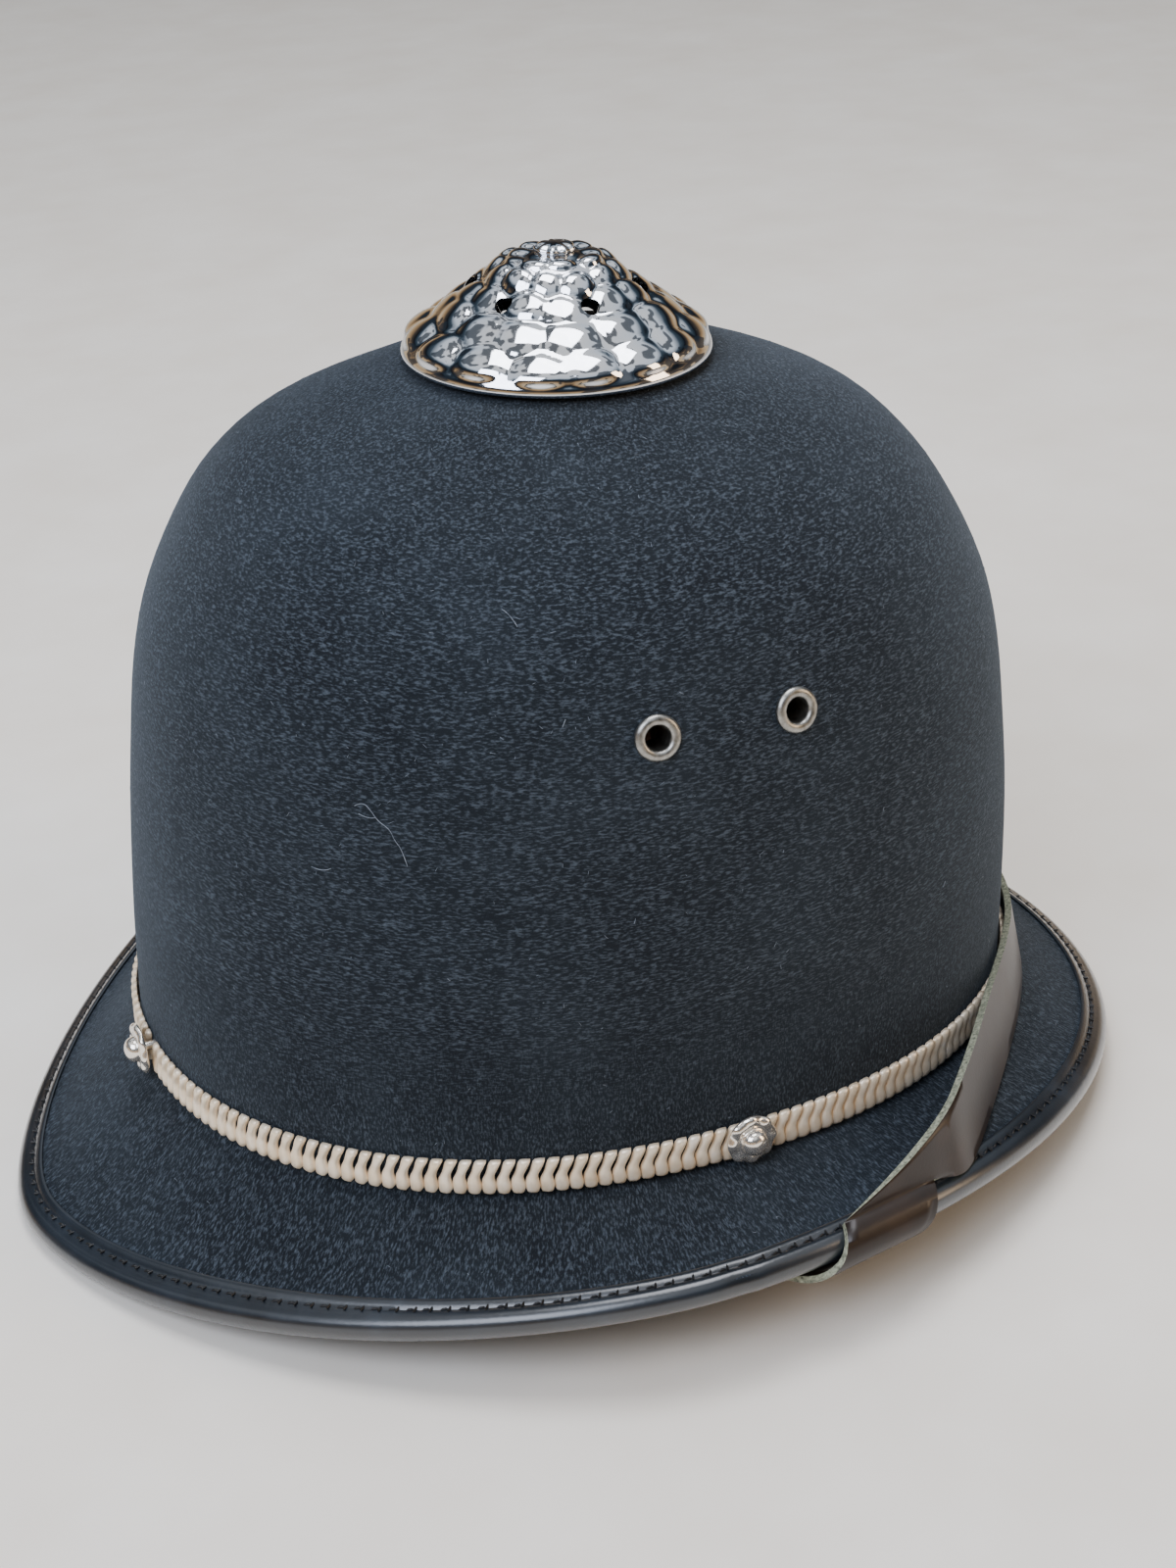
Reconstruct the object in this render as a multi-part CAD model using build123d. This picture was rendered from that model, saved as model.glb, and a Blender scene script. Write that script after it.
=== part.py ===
from build123d import *
import os
from math import cos, hypot, pi, radians, sin, tan

# A custodian police helmet: felt over a cork shell, with a chrome rose on top, a chain band and a chin strap.
# Millimetres, +Z up, +X the front, -Y the wearer's right. The origin is the middle of the bounding box's base.
# The helmet stands on the front and rear tips of its brim. The crown leans forward a little on it.

# Overall sizes

brim_length = 306.0
brim_width = 272.0
side_rise = 23.0  # how much higher the brim's edge is at the sides than at its tips
crown_length = 231.0
crown_width = 203.4
band_height = 37.8  # from the table to the middle of the chain band, along the crown's own axis
crown_rise = 170.4  # from the middle of the chain band to the top of the crown
crown_forward = 1.8
crown_lean = 1.83  # degrees
crown_setback = 1.0  # how far the top of the dome lies behind the crown's axis
crown_fullness = 2.14  # exponent of the crown's plan: 2 is an ellipse, more is squarer
side_count = 32  # flats that stand for the round of the crown and the brim

# The crown's half length and half width at a share of its rise above the band
crown_shares = [
    (-0.035, 1.000, 0.955),
    (0.330, 0.972, 1.000),
    (0.550, 0.930, 0.978),
    (0.650, 0.889, 0.951),
    (0.750, 0.814, 0.893),
    (0.820, 0.744, 0.792),
    (0.880, 0.646, 0.647),
    (0.930, 0.481, 0.476),
    (0.965, 0.300, 0.335),
]
tilt_start_share = 0.88  # above this share of the rise the rings tilt with the rose
tilt_end_share = 0.965

# Brim: the front is blunter than the rear, and the widest place is behind the middle
brim_waist_back = 16.0  # how far behind the middle the brim is widest
front_fullness = 1.95
rear_fullness = 1.60
brim_flare = 1.3  # 1 is a straight slope from crown to edge, more is hollow
brim_shares = (0.50,)  # rings of the brim inside the binding, as shares of the way out from the crown

# Layers of the wall, from the outside in
felt_thick = 2.1
cork_thick = 4.5
cork_edge_thick = 1.9
lining_thick = 0.8
glue_gap = 0.1
corner_drop_share = 0.75  # how far a layer drops at the corner of crown and brim, as a share of its depth
brim_drop_share = 1.12  # how far a layer drops under the sloping brim, as a share of its depth

# Binding: soft leather rolled round the brim's edge
bead_radius = 3.6
binding_thick = 1.05
binding_leaf = 9.5  # how far the binding reaches in from its outermost line

# Chain band and its rosettes
link_pitch = 3.4
link_height = 9.25
link_thick = 2.2
link_gap = 0.4
link_reach_share = 0.66  # how far a link's lobes reach either side of its middle
band_gap = 0.3
rosette_radius = 6.4
rosette_height = 4.6
rosette_petals = 8
shank_radius = 1.2
shank_gap = 0.1
right_rosette_x = 0.8
rosette_raise = 1.2  # how far the rosettes sit above the middle of the chain
keeper_washer_radius = 4.0
keeper_washer_thick = 0.8

# Rose at the top: a pressed and plated shell with three tiers of petals
rose_radius = 36.8
rose_height = 24.4
rose_tilt = 0.6  # degrees, front down
rose_sheet = 0.8
rose_petals = 8
rose_side_count = 32
rose_vent_count = 6
rose_vent_radius = 2.3
rose_vent_ring = 20.6
rose_vent_lean = 25.0  # degrees
rose_seat_gap = 1.0
# Each ring of the rose: radius and height as shares, how deep its petals are, and how far they are turned
rose_shares = [
    (0.985, 0.000, 0.020, 0.0),
    (1.000, 0.055, 0.030, 0.0),
    (0.900, 0.190, 0.045, 0.0),
    (0.740, 0.360, 0.050, 0.0),
    (0.625, 0.440, 0.015, 0.0),
    (0.520, 0.520, 0.020, 0.5),
    (0.450, 0.700, 0.050, 0.5),
    (0.330, 0.800, 0.040, 0.5),
    (0.235, 0.830, 0.015, 0.5),
    (0.200, 0.930, 0.020, 0.0),
    (0.090, 1.000, 0.010, 0.0),
]
rose_inner_rings = (0, 2, 3, 4, 5, 7, 8, 9)  # the rings that the inside of the shell follows

# Fixing under the rose
crown_hole_radius = 11.0
collar_flange_radius = 16.0
collar_flange_thick = 1.0
collar_wall = 0.8
collar_gap = 0.25
bridge_width = 7.0
bridge_thick = 1.5
stud_radius = 2.5
stud_gap = 0.15
stud_below = 16.0
washer_radius = 6.5
washer_thick = 1.2
nut_radius = 4.6
nut_height = 4.4
nut_wing_span = 24.0
nut_wing_height = 8.0
nut_wing_thick = 1.8
fixing_side_count = 16
stack_gap = 0.1

# Side vents: two eyelets a side
vent_places = (-20.7, 12.4)
vent_height = 147.0
eyelet_radius = 5.75
eyelet_hole_radius = 3.0
eyelet_wall = 0.6
eyelet_flange = 1.1
eyelet_gap = 0.15
eyelet_side_count = 12
vent_washer_thick = 0.7
washer_gap = 1.4  # the washers are flat and the shell's inside is curved

# Plate holes in the front wall
plate_hole_radius = 1.75
plate_hole_spacing = 40.0
plate_hole_height = 100.0

# Headband, sweatband, spacers and cradle
spacer_room = 6.2  # between the cork and the headband at the foot of the crown
spacer_depth = 4.4
headband_thick = 1.2
headband_low = 30.0
headband_high = 67.0
sweatband_thick = 1.3
sweatband_gap = 0.3
sweatband_hem = 3.0  # how far the sweatband hangs below the headband
sweatband_high = 61.0
sweatband_lean = 2.6
spacer_count = 8
spacer_width = 12.0
spacer_height = 24.0
fit_gap = 0.3
cradle_arms = 8
cradle_width = 13.0
cradle_thick = 1.0
cradle_top = 150.0
crown_pad_radius = 30.0
crown_pad_thick = 4.0
# Each place on a cradle arm: its radius as a share of the way in, and its height as a share of the way up
cradle_shares = [(0.0, -0.28), (0.0, 0.0), (0.10, 0.36), (0.27, 0.67), (0.50, 0.90), (0.80, 1.0)]

# Chin strap: it stands on its lower edge along the brim, and hugs the crown round the front
strap_width = 18.0
strap_thick = 1.8
strap_gap = 0.3
strap_wall_stand = 5.3  # from the crown to the middle of the strap, round the front
strap_front_height = 38.6
strap_front_dip = 80.0
# The strap's free run from the brim's edge to the crown: along and across as shares of the brim's half
# length and half width, height as a share of the band's height, then its width's heading and dip in
# degrees, and how much wider its slanting section is
strap_run_shares = [
    (0.2438, 0.9184, 0.890, -16.0, 35.0, 1.03),
    (0.3150, 0.8882, 0.937, 48.0, 74.0, 1.00),
    (0.3758, 0.8176, 0.932, 43.0, 73.0, 1.00),
    (0.4536, 0.7250, 0.932, 42.0, 74.0, 1.00),
    (0.5595, 0.5897, 0.932, 38.0, 72.0, 1.00),
    (0.6480, 0.4790, 0.950, 31.0, 76.0, 1.00),
]
strap_front_angles = (-27.0, -18.0, -9.0, 0.0)
# Under the brim, from the ring to the edge: along and across as shares, then the same four as above
strap_under_shares = [
    (-0.0130, 0.7647, 0.420, 0.0, 0.0, 1.00),
    (0.0065, 0.8309, 0.468, -6.0, 0.0, 1.05),
    (0.0392, 0.8971, 0.512, -10.0, 0.0, 1.20),
]
# The turn round the edge: the angle round the bead and how far along the brim, as a share of half its length
wrap_shares = [(-90.0, 0.085), (-50.0, 0.118), (0.0, 0.147), (50.0, 0.160), (90.0, 0.167)]
wrap_heading = 9.0
wrap_slant = 1.48
wrap_gap = 1.1
left_raise = 2.4  # the left strap rides higher, because its keeper and buckle are wider than it is

# Rings that carry the strap, in tabs under the brim
ring_x = -5.0
ring_wire = 1.0
ring_reach = 9.5
ring_play = 1.6  # how much wider the ring is than the strap
ring_height = 21.4
ring_drop = 27.0  # degrees below level, from the tab to the strap
strap_eye_radius = 2.2
eye_angles = (-90.0, -45.0, 0.0, 45.0, 90.0, 140.0)  # the strap's turn round a bar
eye_lap_shares = (1.5, 0.75)  # the strap's end, laid back, in shares of the first stretch from the ring
tab_thick = 1.2
tab_width = 15.0
tab_height = 12.5
tab_eye_gap = 0.35
rivet_radius = 2.2
rivet_head = 0.9
rivet_side_count = 8

# Buckle on the left, drawn on the right and mirrored
buckle_length = 15.0
buckle_rail = 1.0
buckle_stand = 1.6  # how far the buckle's bar lies outside the strap's own line
prong_wire = 0.8
prong_eye_width = 2.2
prong_gap = 0.12
prong_slot_width = 3.0
prong_slot_back = 1.2  # how far behind the bar the slots start, so that the prong can stand up
prong_slot_end_share = 0.80
lap_length = 18.0
tail_rise = 10.0
tail_shares = (0.10, 0.95, 1.25)  # the tail's places behind the lap, between two places of the short strap
keeper_share = 0.50
keeper_length = 7.0
keeper_thick = 1.2
keeper_gap = 0.3

overrun = 3.0  # how far a cutting body runs past what it cuts
twist_limit_share = 1e-9


# Points, faces and solids

def flat(points):
    """A flat face through points."""
    return Face(Wire.make_polygon(points, close=True))


def panels(first, second):
    """Flat faces between two rings of points. A panel that would be twisted is two triangles."""
    faces = []
    for i in range(len(first)):
        j = (i + 1) % len(first)
        a, b, c, d = first[i], first[j], second[j], second[i]
        twist = (b - a).cross(c - a).dot(d - a)
        if abs(twist) < twist_limit_share * (c - a).length ** 3:
            faces.append(flat([a, b, c, d]))
        elif (c - a).length < (d - b).length:
            faces.append(flat([a, b, c]))
            faces.append(flat([a, c, d]))
        else:
            faces.append(flat([a, b, d]))
            faces.append(flat([b, c, d]))
    return faces


def closed_wall(rings):
    """A solid that goes round a hole: its section is the closed line through the rings."""
    faces = []
    for first, second in zip(rings, rings[1:] + rings[:1]):
        faces += panels(first, second)
    return Solid(Shell(faces))


def capped(rings):
    """A solid through sections, closed by the first and the last."""
    faces = [flat(rings[0]), flat(rings[-1])]
    for first, second in zip(rings, rings[1:]):
        faces += panels(first, second)
    return Solid(Shell(faces))


def round_ring(radius, height, count):
    """Points round the Z axis, on the circle of a radius."""
    return [Vector(radius * cos(2 * pi * i / count), radius * sin(2 * pi * i / count), height)
            for i in range(count)]


def post(radius, low, high, count):
    """A straight bar along Z, round to a number of flats."""
    return capped([round_ring(radius, low, count), round_ring(radius, high, count)])


def moved(place, points):
    """Points carried by a location."""
    frame = Plane(place)
    return [frame.from_local_coords(point) for point in points]


def mirrored(shape):
    """The same shape on the helmet's other side."""
    return shape.mirror(Plane.XZ)


def oval(half_length, half_width, height, forward=0.0, tilt=0.0):
    """A ring of the crown: each side keeps its facing, so walls between rings are flat."""
    dual = crown_fullness / (crown_fullness - 1)
    turn = 2 * pi / side_count
    reach = [(abs(half_length * cos(i * turn)) ** dual + abs(half_width * sin(i * turn)) ** dual)
             ** (1 / dual) for i in range(side_count + 1)]
    ring = []
    for i in range(side_count):
        x = (reach[i] * sin((i + 1) * turn) - reach[i + 1] * sin(i * turn)) / sin(turn)
        y = (reach[i + 1] * cos(i * turn) - reach[i] * cos((i + 1) * turn)) / sin(turn)
        ring.append(Vector(x + forward, y, height - x * tan(radians(tilt))))
    return ring


# Crown

crown_place = Pos(crown_forward, 0, 0) * Rot(0, crown_lean, 0)
crown_hole_height = band_height + crown_rise * (1 + tilt_end_share) / 2
rose_place = crown_place * Pos(0, 0, crown_hole_height) * Rot(0, rose_tilt, 0)


def crown_outline(depth, shares):
    """A ring of the crown's wall in the crown's own frame, at a depth under the outside of the felt."""
    rise_share, length_share, width_share = shares
    height = band_height + crown_rise * rise_share - depth * max(rise_share, 0) ** 4
    if rise_share < 0:
        height -= depth * corner_drop_share
    tilt_share = (rise_share - tilt_start_share) / (tilt_end_share - tilt_start_share)
    tilt = rose_tilt * min(max(tilt_share, 0), 1)
    back = crown_setback * max(rise_share, 0) ** 6
    half_length = crown_length / 2 * length_share - depth
    half_width = crown_width / 2 * width_share - depth
    return oval(half_length, half_width, height, -back, tilt)


def crown_ring(depth, shares):
    return moved(crown_place, crown_outline(depth, shares))


def crown_rings(depth):
    """All rings of the crown's wall, from the foot to the hole under the rose."""
    rings = [crown_ring(depth, shares) for shares in crown_shares]
    turn = 2 * pi / side_count
    hole = [Vector(crown_hole_radius * cos((i + 0.5) * turn), crown_hole_radius * sin((i + 0.5) * turn), -depth)
            for i in range(side_count)]
    return rings + [moved(rose_place, hole)]


def rings_about(height):
    """The two rings of shares below and above a height on the crown's axis, and the part of the way between."""
    rise_share = (height - band_height) / crown_rise
    for low, high in zip(crown_shares, crown_shares[1:]):
        if rise_share <= high[0]:
            break
    return low, high, (rise_share - low[0]) / (high[0] - low[0])


def share_at(height):
    """The crown's length and width shares at a height on its axis."""
    low, high, part = rings_about(height)
    return [a + (b - a) * part for a, b in zip(low, high)]


def wall_point(along, height):
    """A point on the crown's right side and the facing of the flat there, in the crown's own frame."""
    low, high, part = rings_about(height)
    lower = crown_outline(0, low)
    upper = crown_outline(0, high)
    level = [a + (b - a) * part for a, b in zip(lower, upper)]
    for i in range(side_count // 2, side_count - 1):
        side = level[i + 1] - level[i]
        if level[i].X <= along < level[i + 1].X:
            break
    facing = side.cross(upper[i] - lower[i]).normalized()
    return level[i] + side * ((along - level[i].X) / side.X), facing


# Brim

brim_half_width = brim_width / 2
brim_half_front = brim_length / 2 + brim_waist_back
brim_half_rear = brim_length / 2 - brim_waist_back
edge_half = felt_thick / 2 + cork_edge_thick / 2 + lining_thick / 2 + glue_gap


def tip_reach(fullness):
    """How far a tip of the brim reaches as a share of its true length, because the tip is one of the flats."""
    half_turn = pi / side_count
    return cos(half_turn) * (cos(half_turn) ** fullness + sin(half_turn) ** fullness) ** (-1 / fullness)


def brim_line(angle, inset):
    """A point of the brim's plan at an angle round it, a distance in from the outermost line."""
    front = cos(angle) > 0
    fullness = front_fullness if front else rear_fullness
    half_length = (brim_half_front if front else brim_half_rear) / tip_reach(fullness) - inset
    size = (abs(cos(angle)) ** fullness + abs(sin(angle)) ** fullness) ** (-1 / fullness)
    x = -brim_waist_back + half_length * size * cos(angle)
    y = (brim_half_width - inset) * size * sin(angle)
    height = bead_radius + side_rise * (size * sin(angle)) ** 2
    return Vector(x, y, height)


def brim_angle(i):
    return 2 * pi * (i + 0.5) / side_count


edge_inset = binding_thick + glue_gap
brim_foot = crown_ring(0, crown_shares[0])
brim_edge = [brim_line(brim_angle(i), edge_inset) for i in range(side_count)]


def brim_ring(share, crown_depth, edge_depth):
    """A ring of the brim, at a share of the way out from the crown to the binding's inner line or, for a
    share of 1 and more, at that line and at the edge. Its depth goes from the crown's to the edge's."""
    ring = []
    for foot, edge in zip(brim_foot, brim_edge):
        out = Vector(edge.X - foot.X, edge.Y - foot.Y, 0)
        leaf_share = 1 - (binding_leaf - edge_inset) / out.length
        part = 1.0 if share > 1 else share * leaf_share
        depth = edge_depth + (crown_depth - edge_depth) * (1 - part)
        edge_top = edge.Z + edge_half
        rise = (foot.Z - edge_top) * (1 - part) ** brim_flare
        ring.append(Vector(foot.X, foot.Y, edge_top + rise - depth) + out * part)
    return ring


brim_steps = (2.0, 1.0) + brim_shares


def layer_rings(crown_depth, edge_depth):
    """One surface of the wall, from the brim's edge up to the hole in the crown."""
    rings = [brim_ring(share, crown_depth * brim_drop_share, edge_depth) for share in brim_steps]
    return rings + crown_rings(crown_depth)


cork_depth = felt_thick + glue_gap
inner_depth = cork_depth + cork_thick
cork_edge_depth = cork_depth + cork_edge_thick


def make_felt_cover():
    return closed_wall(layer_rings(0, 0) + layer_rings(felt_thick, felt_thick)[::-1])


def make_cork_shell():
    return closed_wall(layer_rings(cork_depth, cork_depth) + layer_rings(inner_depth, cork_edge_depth)[::-1])


def under_ring(share, drop):
    """A ring of the brim, at a distance under the cork's lower side."""
    return brim_ring(share, inner_depth * brim_drop_share + drop, cork_edge_depth + drop)


def make_brim_underlining():
    top = [under_ring(share, glue_gap) for share in brim_steps]
    bottom = [under_ring(share, glue_gap + lining_thick) for share in brim_steps]
    return closed_wall(top + bottom[::-1])


def make_brim_binding():
    """The leather's section: a top leaf, the rolled bead and a bottom leaf, round the edge of the layers."""
    half = bead_radius * sin(pi / 4)
    stack = edge_half + glue_gap

    def line(inset, up):
        return [brim_line(brim_angle(i), inset) + Vector(0, 0, up) for i in range(side_count)]

    def top(up):
        return brim_ring(1.0, -up, -up)

    def bottom(down):
        return under_ring(1.0, glue_gap + lining_thick + down)

    outside = [
        top(glue_gap + binding_thick),
        line(bead_radius, bead_radius),
        line(bead_radius - half, half),
        line(0, 0),
        line(bead_radius - half, -half),
        line(bead_radius, -bead_radius),
        bottom(glue_gap + binding_thick),
    ]
    inside = [
        bottom(glue_gap),
        line(edge_inset - glue_gap, -stack),
        line(edge_inset - glue_gap, stack),
        top(glue_gap),
    ]
    return closed_wall(outside + inside)


# Chain band

def band_path():
    """The links' back line round the crown, as corner points in the crown's own frame."""
    top_shares = share_at(band_height + link_height / 2)
    half_length = crown_length / 2 * share_at(band_height)[1] + band_gap
    half_width = crown_width / 2 * top_shares[2] + band_gap
    return oval(half_length, half_width, band_height)


def make_link():
    """One link, seen from outside: an upper lobe that leans forward over a lower one, with a ridge along both."""
    wide = link_pitch - link_gap
    tall = link_height / 2
    outline_shares = [(-0.35, 1.0), (0.62, 1.0), (0.22, 0.0), (0.70, -1.0), (-0.27, -1.0), (-0.75, 0.0)]
    ridge_shares = [(0.10, 0.72), (-0.26, 0.0), (0.18, -0.72)]
    back = [Vector(wide * x, tall * y, 0) for x, y in outline_shares]
    top, middle, low = [Vector(wide * x, tall * y, link_thick) for x, y in ridge_shares]
    faces = [flat(back), flat([back[0], back[1], top]), flat([back[3], back[4], low])]
    for first, second, third, fourth in ((1, 2, middle, top), (2, 3, low, middle), (4, 5, middle, low), (5, 0, top, middle)):
        faces.append(flat([back[first], back[second], third]))
        faces.append(flat([back[first], third, fourth]))
    return Solid(Shell(faces))


def along_path(path, distance):
    """The place at a distance round a closed path, and the side's direction there."""
    for first, second in zip(path, path[1:] + path[:1]):
        side = second - first
        if distance <= side.length:
            return first + side * (distance / side.length), side.normalized()
        distance -= side.length
    return path[0], (path[1] - path[0]).normalized()


def make_chain_band():
    path = band_path()
    total = sum((second - first).length for first, second in zip(path, path[1:] + path[:1]))
    count = round(total / link_pitch)
    shanks = [plane.origin - plane.z_dir * rosette_stand() for plane in rosette_planes().values()]
    room = link_pitch * link_reach_share + shank_radius + shank_gap
    link = make_link()
    links = []
    for i in range(count):
        place, heading = along_path(path, total * (i + 0.5) / count)
        if min(hypot(place.X - shank.X, place.Y - shank.Y) for shank in shanks) < room:
            continue
        outward = heading.cross(Vector(0, 0, 1))
        links.append(Plane(place, x_dir=heading, z_dir=outward).location * link)
    return Compound(children=[crown_place * link for link in links])


def make_rosette():
    """A petalled chrome button with a ball, on a shank that goes through the wall."""
    count = rosette_petals * 2

    def petalled(radius, height, depth):
        ring = []
        for i in range(count):
            angle = 2 * pi * i / count
            reach = radius * (1 + depth * cos(rosette_petals * angle))
            ring.append(Vector(reach * cos(angle), reach * sin(angle), height))
        return ring

    button = capped([
        petalled(rosette_radius * 0.80, 0, 0),
        petalled(rosette_radius * 0.93, rosette_height * 0.20, 0.08),
        petalled(rosette_radius * 0.74, rosette_height * 0.52, 0.10),
        petalled(rosette_radius * 0.46, rosette_height * 0.50, 0),
        petalled(rosette_radius * 0.42, rosette_height * 0.82, 0),
        petalled(rosette_radius * 0.16, rosette_height, 0),
    ])
    length = rosette_stand() + inner_depth + washer_gap + keeper_washer_thick + fit_gap
    return button + post(shank_radius, -length, 0, rivet_side_count)


def rosette_stand():
    """How far the back of a rosette lies outside the felt: just outside the chain."""
    wider = crown_width / 2 * (share_at(band_height + link_height / 2)[2] - share_at(band_height)[2])
    return band_gap + wider + link_thick + band_gap


def rosette_planes():
    """Where the right, left and rear rosettes sit: outside the chain, facing out."""
    height = band_height + rosette_raise
    right, slope = wall_point(right_rosette_x, band_height)
    facing = Vector(slope.X, slope.Y, 0).normalized()
    place = Vector(right.X, right.Y, height) + facing * rosette_stand()
    rear = Vector(-crown_length / 2 - rosette_stand(), 0, height)
    return {
        "right": Plane(place, z_dir=facing),
        "left": Plane(Vector(place.X, -place.Y, place.Z), z_dir=Vector(facing.X, -facing.Y, 0)),
        "rear": Plane(rear, z_dir=(-1, 0, 0)),
    }


def make_rosette_washer():
    """The washer that holds a shank inside the shell."""
    depth = rosette_stand() + inner_depth + washer_gap
    outer_low = round_ring(keeper_washer_radius, -depth, rivet_side_count)
    outer_high = round_ring(keeper_washer_radius, -depth - keeper_washer_thick, rivet_side_count)
    inner_high = round_ring(shank_radius + shank_gap, -depth - keeper_washer_thick, rivet_side_count)
    inner_low = round_ring(shank_radius + shank_gap, -depth, rivet_side_count)
    return closed_wall([outer_low, outer_high, inner_high, inner_low])


# Rose top

def rose_ring(shares, sheet):
    """A ring of the rose: its radius swells at each petal, and every second petal stands out more."""
    radius_share, height_share, petal_share, turned = shares
    ring = []
    for i in range(rose_side_count):
        angle = 2 * pi * i / rose_side_count
        petal = cos(rose_petals * angle + pi * turned)
        reach = (rose_radius * radius_share) * (1 + petal_share * petal) - sheet
        lift = rose_height * (height_share + petal_share * 0.4 * petal)
        down = sheet * min(height_share * 2, 1)
        ring.append(Vector(reach * cos(angle), reach * sin(angle), max(lift, 0) - down))
    return ring


def make_rose_top():
    base = rose_seat_height()
    outside = [rose_ring(shares, 0) for shares in rose_shares]
    inside = [rose_ring(rose_shares[k], rose_sheet) for k in rose_inner_rings]
    tip = stud_radius
    crown = round_ring(tip, rose_height, rose_side_count)
    under = round_ring(tip, rose_height * rose_shares[-2][1] - rose_sheet, rose_side_count)
    shell = closed_wall(outside[:-1] + [crown] + [under] + inside[::-1])
    vent_low = rose_height * rose_shares[4][1]
    vents = []
    for i in range(rose_vent_count):
        angle = 360 * (i + 0.5) / rose_vent_count
        place = Rot(0, 0, angle) * Pos(rose_vent_ring, 0, vent_low) * Rot(0, rose_vent_lean, 0)
        vents.append(place * post(rose_vent_radius, -rose_radius / 4, rose_radius / 4, eyelet_side_count))
    return rose_place * Pos(0, 0, base) * (shell - vents)


def rose_seat_height():
    """The rose's rim above the crown hole's plane, so that it rests on the felt."""
    return -crown_rise * (1 - tilt_end_share) / 2 + rose_seat_gap


def make_rose_stud():
    """The threaded stud, with a domed head that closes the rose's top."""
    top = rose_seat_height() + rose_height
    head = capped([
        round_ring(stud_radius * 1.8, top + stack_gap, fixing_side_count),
        round_ring(stud_radius * 1.5, top + stud_radius * 0.5, fixing_side_count),
        round_ring(stud_radius * 0.7, top + stud_radius * 0.8, fixing_side_count),
    ])
    shaft = post(stud_radius - stud_gap, -inner_depth - stud_below, top + stack_gap, fixing_side_count)
    return rose_place * (head + shaft)


def make_vent_collar():
    """The tube that lines the crown hole, with a flange on the felt and a rolled edge inside."""
    tube = crown_hole_radius - collar_gap
    bore = tube - collar_wall
    low = -inner_depth - collar_flange_thick
    flange = collar_flange_radius
    rings = [
        (bore, collar_flange_thick + stack_gap),
        (flange, stack_gap * 3 + collar_flange_thick * 0.4),
        (flange, stack_gap * 3),
        (tube, stack_gap * 3),
        (tube, low),
        (bore, low),
    ]
    return rose_place * closed_wall([round_ring(r, z, fixing_side_count) for r, z in rings])


def make_stud_bridge():
    """The bar across the collar's lower end that the rose's stud passes through."""
    top = -inner_depth - collar_flange_thick - stack_gap
    length = collar_flange_radius * 2
    bar = Pos(0, 0, top - bridge_thick / 2) * Box(bridge_width, length, bridge_thick)
    hole = post(stud_radius, -length, length, fixing_side_count)
    return rose_place * (bar - hole)


def make_stud_washer():
    top = -inner_depth - collar_flange_thick - bridge_thick - stack_gap * 2
    low = top - washer_thick
    rings = [(washer_radius, top), (washer_radius, low), (stud_radius, low), (stud_radius, top)]
    return rose_place * closed_wall([round_ring(r, z, fixing_side_count) for r, z in rings])


def make_wing_nut():
    top = -inner_depth - collar_flange_thick - bridge_thick - washer_thick - stack_gap * 3
    boss = post(nut_radius, top - nut_height, top, fixing_side_count)
    wing_profile = [
        Vector(nut_radius * 0.6, 0, top),
        Vector(nut_wing_span / 2 - nut_wing_thick, 0, top - nut_wing_height * 0.35),
        Vector(nut_wing_span / 2, 0, top - nut_wing_height * 0.7),
        Vector(nut_wing_span / 2 - nut_wing_thick, 0, top - nut_wing_height),
        Vector(nut_radius * 0.8, 0, top - nut_height),
    ]
    wing = extrude(flat(wing_profile), nut_wing_thick / 2, both=True)
    hole = post(stud_radius, top - nut_wing_span, top + overrun, fixing_side_count)
    return rose_place * (boss + wing + Rot(0, 0, 180) * wing - hole)


# Side vents

def vent_planes():
    """The four vent places on the crown, facing out."""
    planes = []
    for along in vent_places:
        place, facing = wall_point(along, vent_height)
        planes.append(Plane(place, z_dir=facing))
        planes.append(Plane(Vector(place.X, -place.Y, place.Z), z_dir=Vector(facing.X, -facing.Y, facing.Z)))
    return planes


def make_eyelet():
    """A rolled metal eyelet whose barrel goes through felt and cork."""
    barrel = eyelet_hole_radius + eyelet_wall
    low = -inner_depth - washer_gap - vent_washer_thick - eyelet_gap * 2
    rings = [
        (eyelet_hole_radius, eyelet_flange * 0.5),
        ((eyelet_hole_radius + eyelet_radius) / 2, eyelet_flange + fit_gap),
        (eyelet_radius, eyelet_flange * 0.4 + fit_gap),
        (eyelet_radius, fit_gap),
        (barrel, fit_gap),
        (barrel, low),
        (eyelet_hole_radius, low),
    ]
    return closed_wall([round_ring(r, z, eyelet_side_count) for r, z in rings])


def make_vent_washer():
    barrel = eyelet_hole_radius + eyelet_wall + stack_gap
    top = -inner_depth - washer_gap
    low = top - vent_washer_thick
    rings = [(eyelet_radius, top), (eyelet_radius, low), (barrel, low), (barrel, top)]
    return closed_wall([round_ring(r, z, eyelet_side_count) for r, z in rings])


def wall_cuts():
    """Everything that is drilled through felt and cork."""
    cuts = []
    through = inner_depth * 2 + overrun
    vent_hole = post(eyelet_hole_radius + eyelet_wall + eyelet_gap, -through / 2, through / 2, eyelet_side_count)
    cuts += [crown_place * plane.location * vent_hole for plane in vent_planes()]
    shank_reach = through / 2 + link_thick
    shank_hole = post(shank_radius + shank_gap, -shank_reach, shank_reach, rivet_side_count)
    cuts += [crown_place * plane.location * shank_hole for plane in rosette_planes().values()]
    plate_hole = Rot(0, 90, 0) * Cylinder(plate_hole_radius, crown_length / 2)
    for side in (-1, 1):
        cuts.append(Pos(crown_length / 2, side * plate_hole_spacing / 2, plate_hole_height) * plate_hole)
    return cuts


# Headband and cradle

head_half_length = crown_length / 2 - inner_depth - spacer_room
head_half_width = crown_width / 2 * crown_shares[0][2] - inner_depth - spacer_room


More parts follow.
